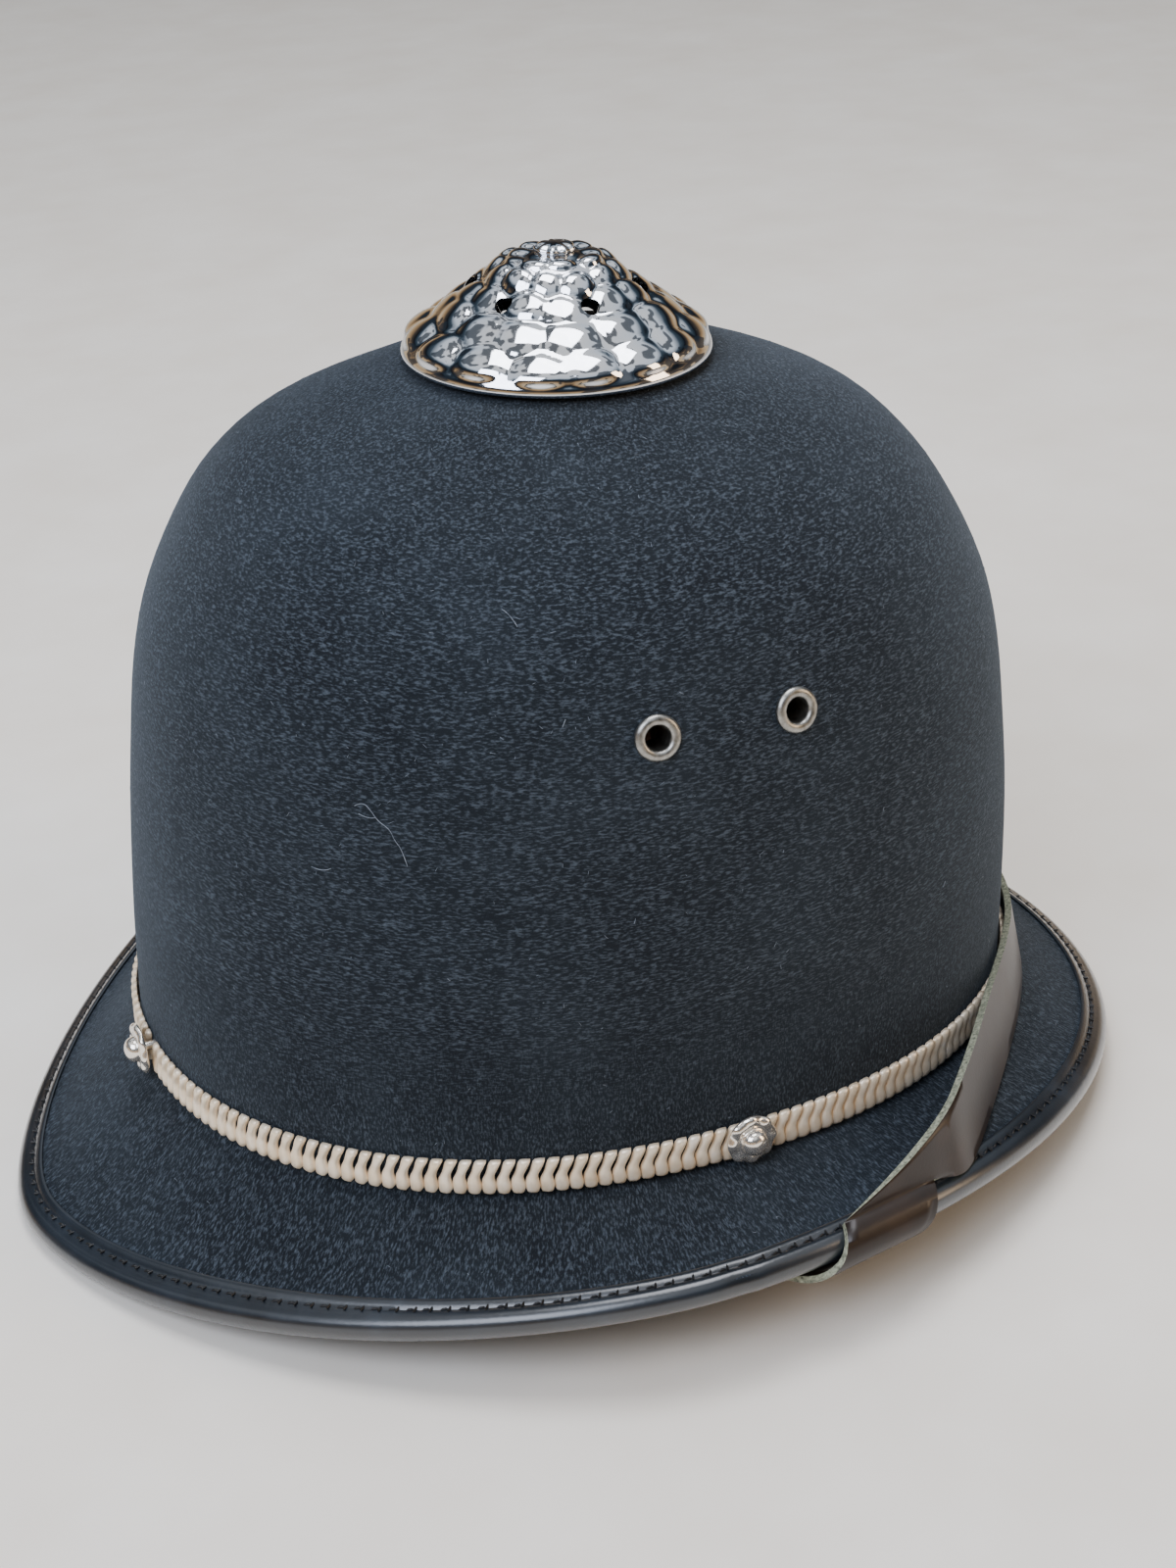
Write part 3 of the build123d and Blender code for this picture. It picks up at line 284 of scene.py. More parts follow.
on_crown = add(tree, "ShaderNodeMapRange", {"Value": level, "From Min": 45 * mm, "From Max": 85 * mm})
nap = add(tree, "ShaderNodeMix", {0: on_crown.outputs["Result"], 2: brim_nap, 3: crown_nap},
          data_type="FLOAT").outputs[0]
fibres = pattern(tree, place, 0.35)
worn = pattern(tree, place, 34, detail=4.0)
body_colour = ramp(tree, worn, (0.30, "#15191E"), (0.52, "#1B2025"), (0.75, "#23292F"))
streaks = ramp(tree, nap, (0.48, "#000000"), (0.68, "#FFFFFF"))
lit = blend(tree, streaks, body_colour, "#464E57")
dust_cells = cells(tree, place, 2.6)
dust = ramp(tree, dust_cells, (0.045, "#FFFFFF"), (0.085, "#000000"))
dust_patches = ramp(tree, pattern(tree, place, 18), (0.50, "#000000"), (0.68, "#BFBFBF"))
dusting = add(tree, "ShaderNodeMix", {"Factor": 1.0}, data_type="RGBA", blend_type="MULTIPLY")
tree.links.new(dust, dusting.inputs[6])
tree.links.new(dust_patches, dusting.inputs[7])
colour(tree, base, blend(tree, dusting.outputs[2], lit, "#7D8692"))
bumped(tree, base, nap, 0.18, 0.8)
bumped(tree, base, fibres, 0.12, 0.8)
print(felt.name)

# %% [markdown]
# ## Leathers
# The binding is thin black hide, glazed after it was sewn, with a fine grain. The strap is thicker, smooth
# dark bridle leather; its cut edges were never dyed, so they are pale, grey-green and fibrous. The sweatband
# is tan sheepskin.

# %% Leather finishes
hide, tree, base, place = material("Glazed hide, black", Coat_Weight=1.0, Coat_Roughness=0.24)
grain = cells(tree, place, 0.75)
patches = pattern(tree, place, 22)
colour(tree, base, ramp(tree, patches, (0.3, "#0E1318"), (0.6, "#192028"), (0.8, "#27313B")))
rough(tree, base, patches, 0.22, 0.40)
bumped(tree, base, grain, 0.05, 0.5)
bumped(tree, base, pattern(tree, place, 5), 0.18, 0.5)

bridle, tree, base, place = material("Bridle leather, brown-black", Coat_Weight=0.15, Coat_Roughness=0.2,
                                     Specular_IOR_Level=0.32)
patches = pattern(tree, place, 16)
colour(tree, base, ramp(tree, patches, (0.3, "#1A110B"), (0.55, "#241810"), (0.8, "#322217")))
rough(tree, base, patches, 0.30, 0.44)
bumped(tree, base, pattern(tree, place, 0.9, detail=4.0), 0.06, 0.5)

cut_edge, tree, base, place = material("Cut leather edge, raw", Roughness=0.9)
ragged = pattern(tree, place, 0.9, detail=4.0)
colour(tree, base, ramp(tree, ragged, (0.3, "#4E5145"), (0.5, "#878A76"), (0.75, "#B1B29B")))
bumped(tree, base, ragged, 0.5)

sheepskin, tree, base, place = material("Sheepskin, tan", Roughness=0.55)
grain = cells(tree, place, 1.1)
tan = pattern(tree, place, 20)
colour(tree, base, ramp(tree, tan, (0.3, "#6F4426"), (0.55, "#87562F"), (0.8, "#9C6A3E")))
bumped(tree, base, grain, 0.08, 0.6)
print("four leathers")

# %% [markdown]
# ## Metals
# The rose is brass, pressed, polished and chrome plated: nearly a mirror. The chain is plated too, but worn
# and tumbled, so its links look soft; their warm tan is painted reflection in the base colour. The rosettes
# are between the two, with a faint warm tint that is painted reflection too. The eyelets and small
# hardware are dull nickel, and the collar is spun aluminium.

# %% Metal finishes
chrome, tree, base, place = material("Chrome plate, polished", Metallic=1.0, Base_Color=linear("#E4E6EA"))
rough(tree, base, pattern(tree, place, 9), 0.03, 0.10)
bumped(tree, base, pattern(tree, place, 7, detail=1.0), 0.12, 0.4)

worn_chrome_painted_reflection, tree, base, place = material("Chrome plate, tumbled, painted warm reflection", Metallic=0.35)
tarnish = pattern(tree, place, 4)
# The warm tan of these colours is a painted warm reflection; their patchy spread is tarnish.
colour(tree, base, ramp(tree, tarnish, (0.3, "#F0D9B8"), (0.6, "#FBEAD0"), (0.8, "#FFF4E4")))
rough(tree, base, tarnish, 0.32, 0.46)

# The faint warm tint of the rosettes' base colour is a painted reflection of a warm floor.
soft_chrome_painted_reflection, tree, base, place = material("Chrome plate, softened, painted warm reflection", Metallic=0.85,
                                          Base_Color=linear("#F6EEE2"))
rough(tree, base, pattern(tree, place, 3), 0.10, 0.20)

nickel, tree, base, place = material("Nickel plate, dull", Metallic=1.0)
scuffs = pattern(tree, place, 1.6, detail=5.0)
colour(tree, base, ramp(tree, scuffs, (0.3, "#7E7C76"), (0.6, "#A5A49F"), (0.8, "#BBBAB6")))
rough(tree, base, scuffs, 0.26, 0.48)
bumped(tree, base, scuffs, 0.03, 0.5)

aluminium, tree, base, place = material("Aluminium, spun", Metallic=1.0, Base_Color=linear("#C3C5C8"))
rough(tree, base, pattern(tree, place, 0.8, (1, 1, 8)), 0.28, 0.46)
print("five metals")

# %% [markdown]
# ## Inside: cork, cloth, board and thread
# The shell is pressed cork, whose granules are a few millimetres across. Under the brim is glazed cotton. The
# headband is black fibre board, and the cradle is plain woven tape, whose threads are drawn 0.9 mm apart.

# %% Inner finishes
cork, tree, base, place = material("Pressed cork", Roughness=0.9, Specular_IOR_Level=0.2)
granule_mm = 3.4
granule = cells(tree, place, granule_mm, output="Color")
tone = add(tree, "ShaderNodeSeparateColor", {"Color": granule}).outputs["Red"]
edges = cells(tree, place, granule_mm, feature="DISTANCE_TO_EDGE")
seams = ramp(tree, edges, (0.02, "#FFFFFF"), (0.09, "#000000"))
colour(tree, base, blend(tree, seams, ramp(tree, tone, (0.1, "#8A5F35"), (0.5, "#A87A48"), (0.9, "#C69A66")),
                         "#4A301B"))
bumped(tree, base, cells(tree, place, granule_mm), 0.25, 0.7)


def woven(name, thread_mm, dark, light, **shader):
    """Plain weave: two bands of threads at right angles, over and under each other."""
    made, tree, base, place = material(name, **shader)
    height = None
    for direction in ("X", "Y", "Z"):
        wave = add(tree, "ShaderNodeTexWave", {"Vector": place, "Scale": 1 / (thread_mm * mm * 3.2),
                                               "Distortion": 0.6, "Detail": 1.0}, bands_direction=direction)
        if height is None:
            height = wave.outputs["Fac"]
        else:
            height = add(tree, "ShaderNodeMath", {0: height, 1: wave.outputs["Fac"]},
                         operation="MAXIMUM").outputs[0]
    # The colour darkens where the weave lies low, between the threads: painted shade.
    colour(tree, base, ramp(tree, height, (0.35, dark), (0.95, light)))
    bumped(tree, base, height, thread_mm * 0.3, 0.7)
    return made


lining = woven("Glazed cotton, dark", 0.5, "#0A0F0C", "#1C2620", Roughness=0.45)
tape = woven("Cotton tape, natural", 0.9, "#8D8672", "#D8D1BC", Roughness=0.85)
pad_cloth = woven("Brushed cotton, black", 0.6, "#0E0F11", "#26282C", Roughness=0.9, Sheen_Weight=0.15)

board, tree, base, place = material("Fibre board, black", Roughness=0.6)
colour(tree, base, ramp(tree, pattern(tree, place, 1.5, (1, 1, 4)), (0.3, "#0C0C0D"), (0.7, "#1E1D1C")))
bumped(tree, base, pattern(tree, place, 0.8), 0.08)

thread, tree, base, place = material("Waxed thread, black", Roughness=0.5)
colour(tree, base, ramp(tree, pattern(tree, place, 0.5), (0.3, "#020203"), (0.7, "#08080A")))

fluff, tree, base, place = material("Cotton fluff, pale", Roughness=1.0)
colour(tree, base, ramp(tree, pattern(tree, place, 2), (0.3, "#545C66"), (0.7, "#8D959F")))
print("inner finishes ready")

# %% [markdown]
# ## The form of the crown and the brim
# The crown's plan is a little squarer than an oval, and its rings follow a table of shares of the rise. The
# brim's edge is an oval with a blunter front, seen from above, and it rises at the sides. Between the two the
# brim is hollow. Each layer of the wall is the same surface at its own depth.

# %% The surface as a formula
crown_half_length = 115.5
crown_half_width = 101.7
crown_fullness = 2.14
band_height = 37.8
crown_rise = 170.4
crown_forward = 1.8
crown_lean = radians(1.83)
hole_height, hole_radius = 205.2, 11.0
top_set_back, foot_drop_share = 1.0, 0.75
crown_table = [(-0.035, 1.000, 0.955), (0.000, 1.000, 0.958), (0.150, 0.991, 0.978), (0.300, 0.974, 1.000),
               (0.420, 0.956, 0.994), (0.550, 0.930, 0.978), (0.650, 0.889, 0.951), (0.750, 0.814, 0.893),
               (0.820, 0.744, 0.792), (0.880, 0.646, 0.647), (0.930, 0.481, 0.476), (0.965, 0.300, 0.335),
               (0.9824, 0.0952, 0.1082)]
brim_front, brim_rear, brim_half_width, brim_waist = 169.0, 137.0, 136.0, 16.0
front_fullness, rear_fullness = 1.95, 1.60
bead_radius, side_rise = 3.6, 23.0
edge_inset, edge_lift, brim_flare = 1.15, 2.5, 1.3
leaf_inset = 7.0
tip_softness, turn_step, least_slant = 0.004, 0.002, 0.5


def leaning(point):
    """From the crown's own frame to the helmet's."""
    return Vector((point.x * cos(crown_lean) + point.z * sin(crown_lean) + crown_forward, point.y,
                   point.z * cos(crown_lean) - point.x * sin(crown_lean)))


def crown_point(part, turn, depth=0.0):
    """A point of the crown: part goes from its foot to the hole under the rose, turn once round it."""
    rise, long_share, wide_share = spline(crown_table, part)
    along, across = cos(2 * pi * turn), sin(2 * pi * turn)
    size = (abs(along) ** crown_fullness + abs(across) ** crown_fullness) ** (-1 / crown_fullness)
    drop = depth * max(rise, 0) ** 4 if rise >= 0 else depth * foot_drop_share
    half_length = max(crown_half_length * long_share - depth, hole_radius)
    half_width = max(crown_half_width * wide_share - depth, hole_radius)
    return leaning(Vector((half_length * size * along - top_set_back * max(rise, 0) ** 6,
                           half_width * size * across, band_height + crown_rise * rise - drop)))


def brim_outline(turn, inset=0.0):
    along, across = cos(2 * pi * turn), sin(2 * pi * turn)
    fullness = front_fullness if along > 0 else rear_fullness
    half_length = (brim_front if along > 0 else brim_rear) - inset
    size = ((along ** 2 + tip_softness) ** (fullness / 2)
            + (across ** 2 + tip_softness) ** (fullness / 2)) ** (-1 / fullness)
    size *= (1 + tip_softness) ** 0.5
    return Vector((-brim_waist + half_length * size * along, (brim_half_width - inset) * size * across,
                   bead_radius + side_rise * (size * across) ** 2))


def across_brim(turn):
    """The brim's tip, the crown's foot behind it, the way out, and how square that is to the edge."""
    tip, foot = brim_outline(turn), crown_point(0, turn)
    ahead, behind = brim_outline(turn + turn_step), brim_outline(turn - turn_step)
    side = Vector((ahead.y - behind.y, behind.x - ahead.x, 0)).normalized()
    out = Vector((tip.x - foot.x, tip.y - foot.y, 0))
    return tip, foot, out, max(out.normalized().dot(side), least_slant)


def brim_point(turn, inset, up=0.0, on_felt=True):
    """A point at a distance in from the brim's outermost line, above the felt or above the bead's middle."""
    tip, foot, out, slant = across_brim(turn)
    here = tip - out.normalized() * inset / slant
    if not on_felt:
        return Vector((here.x, here.y, tip.z + up))
    outward = 1 - (inset - edge_inset) / (out.length * slant - edge_inset)
    edge_top = tip.z + edge_lift
    return Vector((here.x, here.y, edge_top + (foot.z - edge_top) * max(1 - outward, 0) ** brim_flare + up))


def brim_width_at(turn):
    out, slant = across_brim(turn)[2:]
    return out.length * slant


print("brim", [round(brim_width_at(turn), 1) for turn in (0, 0.25, 0.5)], "mm wide at front, side and rear")

# %% [markdown]
# ## Felt cover and cork shell
# The felt is one seamless hood drawn over the cork, so each is made as one closed wall, from the brim's edge
# up to the hole under the rose and back down inside. The holes for the eyelets and for the plate are then
# drilled with cylinders.

# %% Wall layers
foot_depth_share, foot_sharpness = 1.12, 8


def wall(name, outer, inner, edge_outer, edge_inner, around=224, brim_rows=14, crown_rows=46):
    """A closed layer of the wall between two depths under the felt's outside."""
    rows = brim_rows + crown_rows

    def place(turn, part):
        lap = part * 2
        inside = lap > 1
        row = (2 - lap if inside else lap) * rows
        depth, edge_depth = (inner, edge_inner) if inside else (outer, edge_outer)
        if row <= brim_rows:
            width = brim_width_at(turn)
            share = row / brim_rows
            inset = edge_inset + (width - edge_inset) * share
            down = edge_depth + (depth * foot_depth_share - edge_depth) * share
            point = brim_point(turn, inset)
            foot = crown_point(0, turn, depth)
            return Vector((point.x, point.y, point.z - down)).lerp(foot, share ** foot_sharpness)
        return crown_point((row - brim_rows) / crown_rows, turn, depth)

    return wrapped(name, around, rows * 2, place)


def drill(piece, radius_mm, depth_mm, places, sides=32):
    """Drills round holes at matrices whose local Z is the hole's axis."""
    cutters = []
    for matrix in places:
        pick()
        bpy.ops.mesh.primitive_cylinder_add(vertices=sides, radius=radius_mm * mm, depth=depth_mm * mm)
        cutter = bpy.context.object
        cutter.data.transform(matrix)
        cutters.append(cutter)
    pick(*cutters)
    bpy.ops.object.join()
    cutter = bpy.context.object
    apply_modifier(piece, "BOOLEAN", operation="DIFFERENCE", solver="EXACT", object=cutter)
    bpy.data.objects.remove(cutter)


rise_steps, turn_steps, first_turn, turn_span = 400, 300, 0.15, 0.2


def crown_place(along, height, side):
    """The place and facing on the smooth crown at an x and a height in its own frame, on side -1 or 1."""
    rise = (height - band_height) / crown_rise
    parts = [k / rise_steps for k in range(rise_steps + 1)]
    part = next(share for share in parts if spline(crown_table, share)[0] >= rise)
    turns = [side * (first_turn + turn_span * k / turn_steps) for k in range(turn_steps + 1)]
    turn = min(turns, key=lambda t: abs(crown_point(part, t).x - leaning(Vector((along, 0, height))).x))
    here = crown_point(part, turn)
    across = crown_point(part, turn + 0.004) - crown_point(part, turn - 0.004)
    upward = crown_point(part + 0.01, turn) - crown_point(part - 0.01, turn)
    return here, across.cross(upward).normalized()


felt_depth, cork_top, cork_depth, cork_edge_depth = 2.1, 2.2, 6.7, 4.1
vent_height, vents_along, vent_hole_radius = 147.0, (-20.7, 12.4), 3.2
plate_ahead, plate_height, plate_side, plate_hole_radius = 112.0, 100.0, 20.0, 1.75
vent_drill_length, plate_drill_length = 30, 40
vent_places = [crown_place(x, vent_height, side) for side in (-1, 1) for x in vents_along]
plate_places = [Vector((plate_ahead, y, plate_height)) for y in (-plate_side, plate_side)]
felt_cover = wall("felt_cover_smooth", 0.0, felt_depth, 0.0, felt_depth)
cork_shell = wall("cork_shell_smooth", cork_top, cork_depth, cork_top, cork_edge_depth)
for layer in (felt_cover, cork_shell):
    drill(layer, vent_hole_radius, vent_drill_length, [facing(here, out) for here, out in vent_places])
    drill(layer, plate_hole_radius, plate_drill_length,
          [facing(here, Vector((1, 0, 0))) for here in plate_places])
    smooth(layer, 50)
seat(felt_cover, felt, "felt_cover")
seat(cork_shell, cork, "cork_shell")

# %% Lining under the brim
lining_depths, lining_fall, lining_hem = (4.2, 5.0), 3.3, 1.5


def lining_place(turn, part):
    width = brim_width_at(turn)
    lap = part * 2
    share = 2 - lap if lap > 1 else lap
    down = lining_depths[int(lap > 1)] + share * lining_fall
    inset = edge_inset + (width - edge_inset - lining_hem) * share
    return brim_point(turn, inset, -down)


seat(wrapped("brim_lining", 192, 28, lining_place), lining, "brim_underlining")

# %% [markdown]
# ## Bound edge
# A strip of soft hide is folded over the brim's edge round a piping cord and sewn through. So its section is
# a round bead with a thin leaf above and one below. The upper leaf is pressed into a shallow groove where the
# stitches run, and each stitch is a short length of thread that dips into its two holes.

# %% Binding
bead_points = 14
groove_inset = 4.4


def binding_section():
    """The points round the binding's section: (inset, height, on the felt)."""
    section = [(leaf_inset, 0.1, True), (leaf_inset, 0.85, True), (leaf_inset - 0.35, 1.12, True),
               (6.0, 1.2, True), (5.1, 1.02, True), (groove_inset, 0.5, True), (4.0, 0.72, True)]
    section += [(bead_radius - bead_radius * cos(angle), bead_radius * sin(angle), False)
                for angle in (radians(84 - 182 * k / bead_points) for k in range(bead_points + 1))]
    section += [(5.6, -3.35, False), (leaf_inset - 0.4, -3.1, False), (leaf_inset, -2.9, False),
                (leaf_inset, -2.55, False), (edge_inset, -2.5, False), (edge_inset, 2.5, False),
                (leaf_inset, 0.1, True)]
    return section


binding_line = binding_section()


def binding_place(turn, part):
    inset, up, on_felt = binding_line[round(part * (len(binding_line) - 1))]
    return brim_point(turn, inset, up, on_felt)


binding = wrapped("bound_edge", 288, len(binding_line) - 1, binding_place, 60)
seat(binding, hide, "brim_binding")

# %% Stitches
stitch_pitch, stitch_length, thread_radius = 4.3, 2.7, 0.29
tick_length, stitch_dip, stitch_slant, stitch_sides = 2.1, 0.75, 0.25, 6
tick_side, tick_up, tick_turn = 0.2, 0.1, radians(-12)
pick()
bpy.ops.mesh.primitive_cylinder_add(vertices=stitch_sides, radius=thread_radius * mm,
                                    depth=stitch_length * mm, rotation=(0, radians(90), 0))
stitch = bpy.context.object
bpy.ops.object.transform_apply(location=False, rotation=True, scale=False)
bpy.ops.object.mode_set(mode="EDIT")
bpy.ops.mesh.subdivide(number_cuts=2)
bpy.ops.object.mode_set(mode="OBJECT")
for vertex in stitch.data.vertices:
    reach = vertex.co.x / (stitch_length * mm / 2)
    vertex.co.z -= stitch_dip * mm * reach ** 4
    vertex.co.y += stitch_slant * mm * reach
pick()
bpy.ops.mesh.primitive_cylinder_add(vertices=stitch_sides, radius=thread_radius * mm, depth=tick_length * mm,
                                    location=(stitch_length * mm / 2, tick_side * mm, tick_up * mm),
                                    rotation=(radians(90), 0, tick_turn))
tick = bpy.context.object
bpy.ops.object.transform_apply(location=True, rotation=True, scale=False)
pick(stitch, tick)
bpy.ops.object.join()
rim_samples = 1440
rim = [brim_point(k / rim_samples, groove_inset, stitch_dip) for k in range(rim_samples + 1)]
lengths = [0.0]
for first, second in zip(rim, rim[1:]):
    lengths.append(lengths[-1] + (second - first).length)
stitch_count = round(lengths[-1] / stitch_pitch)
stitch_places = []
for k in range(stitch_count):
    at = next(i for i, length in enumerate(lengths) if length >= lengths[-1] * k / stitch_count)
    here, ahead = rim[at], rim[(at + 1) % rim_samples]
    x = (ahead - here).normalized()
    z = Vector((0, 0, 1))
    y = z.cross(x).normalized()
    turned = Matrix((x, y, x.cross(y))).transposed().to_4x4()
    stitch_places.append(Matrix.Translation(here * mm) @ turned)
stitches = repeated("binding_stitches", stitch, stitch_places)
smooth(stitches, 60)
seat(stitches, thread, "brim_binding")
print(stitch_count, "stitches")

# %% [markdown]
# ## Chain band
# The band is a flattened chain: each link is an S of half-round wire, its upper lobe leaning forward over the
# lower one, so that the row reads as two rows of scales with dark slits between them. One link is lofted
# through nine sections and copied round the band, which lies just outside the felt.

# %% One link
link_pitch, link_height, link_depth = 3.4, 9.25, 1.9
# Height, middle, half width and depth of each section, as shares of the link's own sizes
link_table = [(-1.00, 0.00, 0.24, 0.45), (-0.92, 0.02, 0.44, 0.85), (-0.62, 0.06, 0.52, 1.00),
              (-0.25, -0.01, 0.45, 0.98), (0.02, 0.06, 0.37, 0.86), (0.28, 0.19, 0.34, 0.94),
              (0.62, 0.36, 0.40, 1.00), (0.92, 0.52, 0.40, 0.85), (1.00, 0.56, 0.22, 0.45)]
link_back_share, link_full_share, link_lean_share, link_sides = 0.12, 0.75, 0.16, 10


def link_place(turn, part):
    height, middle, half_width, depth = spline(link_table, part)
    angle = 2 * pi * turn
    bulge = max(sin(angle), 0) ** 0.5 - (link_back_share if sin(angle) < 0 else 0)
    lean = link_lean_share * cos(angle)
    shut = 0.0 if part in (0.0, 1.0) else 1.0
    return Vector((link_pitch * (middle + half_width * cos(angle) * shut), link_height / 2 * height,
                   link_depth * (link_back_share + depth * (link_full_share * bulge + lean * bulge) * shut)))


link = wrapped("link", link_sides, 12, link_place, 70)
print("one link", len(link.data.polygons), "faces")

# %% The band round the crown
band_samples, band_gap, foot_width_share = 1440, 0.3, 0.963
band_line = []
for k in range(band_samples):
    turn = k / band_samples
    along, across = cos(2 * pi * turn), sin(2 * pi * turn)
    size = (abs(along) ** crown_fullness + abs(across) ** crown_fullness) ** (-1 / crown_fullness)
    band_line.append(Vector(((crown_half_length + band_gap) * size * along,
                             (crown_half_width * foot_width_share + band_gap) * size * across, band_height)))
steps = [(band_line[(k + 1) % band_samples] - band_line[k]).length for k in range(band_samples)]
link_count = round(sum(steps) / link_pitch)
shank_ahead, shank_side, shank_behind = 0.8, 97.4, 115.5
shank_places = [Vector((shank_ahead, -shank_side, 0)), Vector((shank_ahead, shank_side, 0)),
                Vector((-shank_behind, 0, 0))]
link_places = []
walked, k = 0.0, 0
for i in range(link_count):
    target = sum(steps) * (i + 0.5) / link_count
    while walked + steps[k] < target:
        walked += steps[k]
        k += 1
    here = band_line[k].lerp(band_line[(k + 1) % band_samples], (target - walked) / steps[k])
    if min(hypot(here.x - shank.x, here.y - shank.y) for shank in shank_places) < link_pitch:
        continue
    heading = (band_line[(k + 1) % band_samples] - band_line[k]).normalized()
    out = heading.cross(Vector((0, 0, 1)))
    spot = leaning(here)
    out, up = leaning(here + out) - spot, leaning(here + Vector((0, 0, 1))) - spot
    link_places.append(facing(spot, out, up))
chain = repeated("chain_band_links", link, link_places)
seat(chain, worn_chrome_painted_reflection, "chain_band")
print(len(link_places), "links of", link_count)

# %% [markdown]
# ## Rosettes
# Three pressed buttons hold the chain: a ring of eight petals round a ball. Each is a turned form whose
# radius swells at every petal, so it is a grid laid round its own axis.

# %% Rosettes
def rod(radius_mm, length_mm, middle_mm, sides):
    """A round bar along Z with its middle at a height."""
    pick()
    bpy.ops.mesh.primitive_cylinder_add(vertices=sides, radius=radius_mm * mm, depth=length_mm * mm,
                                        location=(0, 0, middle_mm * mm))
    bpy.ops.object.transform_apply(location=True, rotation=False, scale=False)
    return bpy.context.object


rosette_height, rosette_radius = 4.6, 6.4
petals, petal_swell, petal_rise = 8, 0.035, 0.04
shank_radius, shank_length, shank_middle = 1.2, 15.0, -7.4
# Radius and height as shares of the rosette's, and how strongly the petals stand out there
rosette_table = [(0.00, 0.00, 0.0), (0.45, 0.00, 0.0), (0.84, 0.00, 0.0), (0.97, 0.05, 0.3),
                 (1.00, 0.15, 0.8), (0.95, 0.27, 1.0), (0.85, 0.36, 1.0), (0.72, 0.39, 0.7),
                 (0.60, 0.36, 0.3), (0.53, 0.38, 0.0), (0.51, 0.54, 0.0), (0.44, 0.76, 0.0),
                 (0.30, 0.93, 0.0), (0.14, 1.01, 0.0), (0.00, 1.03, 0.0)]


def rosette_place(turn, part):
    radius, height, petal = spline(rosette_table, part)
    wave = petal * cos(petals * 2 * pi * turn)
    reach = rosette_radius * max(radius, 0) * (1 + petal_swell * wave)
    return Vector((reach * cos(2 * pi * turn), reach * sin(2 * pi * turn),
                   rosette_height * (height + petal_rise * wave)))


for node, side in (("right_rosette", Vector((0, -1, 0))), ("left_rosette", Vector((0, 1, 0))),
                   ("rear_rosette", Vector((-1, 0, 0)))):
    low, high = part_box(node)
    middle = (low + high) / 2 / mm
    reach = max(abs(low.x if side.x else low.y), abs(high.x if side.x else high.y)) / mm
    if side.x:
        spot = Vector((low.x / mm + rosette_height, middle.y, middle.z))
    else:
        spot = Vector((middle.x, side.y * (reach - rosette_height), middle.z))
    rosette = wrapped(node + "_pressed", 64, 42, rosette_place, 60)
    rosette.data.transform(facing(spot, side))
    shank = rod(shank_radius, shank_length, shank_middle, 24)
    shank.data.transform(facing(spot, side))
    pick(rosette, shank)
    bpy.ops.object.join()
    seat(rosette, soft_chrome_painted_reflection, node)

# %% [markdown]
# ## Rose top
# The vent cap is pressed from thin brass as tiers of leaves, then plated. The leaves are soft, uneven lumps
# that meet in creases, with a smooth rolled rim below, which is why the reflections break up so. A turned
# form carries the tiers, and each leaf lifts it where it lies. Six vents are punched through the middle tier.

# %% The cap
rose_radius, rose_rise, rose_sheet, rose_sunk, outer_share = 36.8, 24.4, 0.8, 2.0, 0.6
inner_inset_share, inner_drop_share, inner_foot = 2.2, 2.6, 0.1
rim_share, rim_drop = 0.04, 0.6
# Radius and height as shares of the rose's
rose_table = [(1.000, 0.020), (1.010, 0.050), (1.002, 0.100), (0.980, 0.150), (0.940, 0.205), (0.885, 0.270),
              (0.815, 0.345), (0.745, 0.425), (0.680, 0.500), (0.620, 0.560), (0.560, 0.615), (0.500, 0.680),
              (0.445, 0.750), (0.395, 0.825), (0.345, 0.890), (0.295, 0.930), (0.240, 0.950), (0.190, 0.965),
              (0.130, 0.985), (0.065, 1.000), (0.000, 1.005)]
# Each tier of leaves: its part of the way up, how many leaves, and half a leaf's length as such a part
leaf_tiers = [(0.235, 16, 0.105), (0.385, 14, 0.095), (0.520, 12, 0.085), (0.650, 12, 0.080),
              (0.790, 9, 0.070)]
leaf_sharpness, leaf_height, leaf_out, leaf_up, leaf_fade = 7.0, 1.5, 0.55, 0.83, 4
draws = random.Random(7)
leaves = []
for tier, (part, count, half_part) in enumerate(leaf_tiers):
    for i in range(count):
        turn = (i + 0.5 * ((tier + 1) % 2) + draws.uniform(-0.15, 0.15)) / count
        leaves.append((turn, part + draws.uniform(-0.015, 0.015), 0.58 / count, half_part,
                       draws.uniform(0.7, 1.1), draws.uniform(-0.32, 0.32), draws.uniform(-0.30, 0.30)))


def leaf_lift(turn, part):
    """How far the leaves stand out: rounded lumps that meet in soft creases, and nothing at the rim."""
    total = 1.0
    for leaf_turn, leaf_part, half_turn, half_part, tall, lean, tip in leaves:
        across = ((turn - leaf_turn + 0.5) % 1 - 0.5) / half_turn
        along = (part - leaf_part) / half_part
        off = hypot(across, along)
        if off < 2:
            total += exp(leaf_sharpness * (tall * (1 - off ** 3) + lean * across + tip * along))
    return log(total) / leaf_sharpness


def rose_surface(turn, part):
    radius, height = spline(rose_table, part)
    lift = leaf_height * leaf_lift(turn, part) * min(radius * leaf_fade, 1)
    reach = rose_radius * max(radius, 0) + leaf_out * lift
    return Vector((reach * cos(2 * pi * turn), reach * sin(2 * pi * turn),
                   rose_rise * height + leaf_up * lift))


def rose_shell(turn, part):
    """Outside from the rim to the top, then back down inside, clear of the creases between the leaves."""
    if part <= outer_share:
        return rose_surface(turn, part / outer_share)
    back = 1 - (part - outer_share) / (1 - outer_share)
    radius, height = spline(rose_table, back)
    reach = max(rose_radius * radius - rose_sheet * inner_inset_share, 0) if back < 1 else 0
    lower = rose_rise * height - (rose_sheet * inner_drop_share if back > rim_share else rim_drop)
    return Vector((reach * cos(2 * pi * turn), reach * sin(2 * pi * turn), max(lower, inner_foot)))


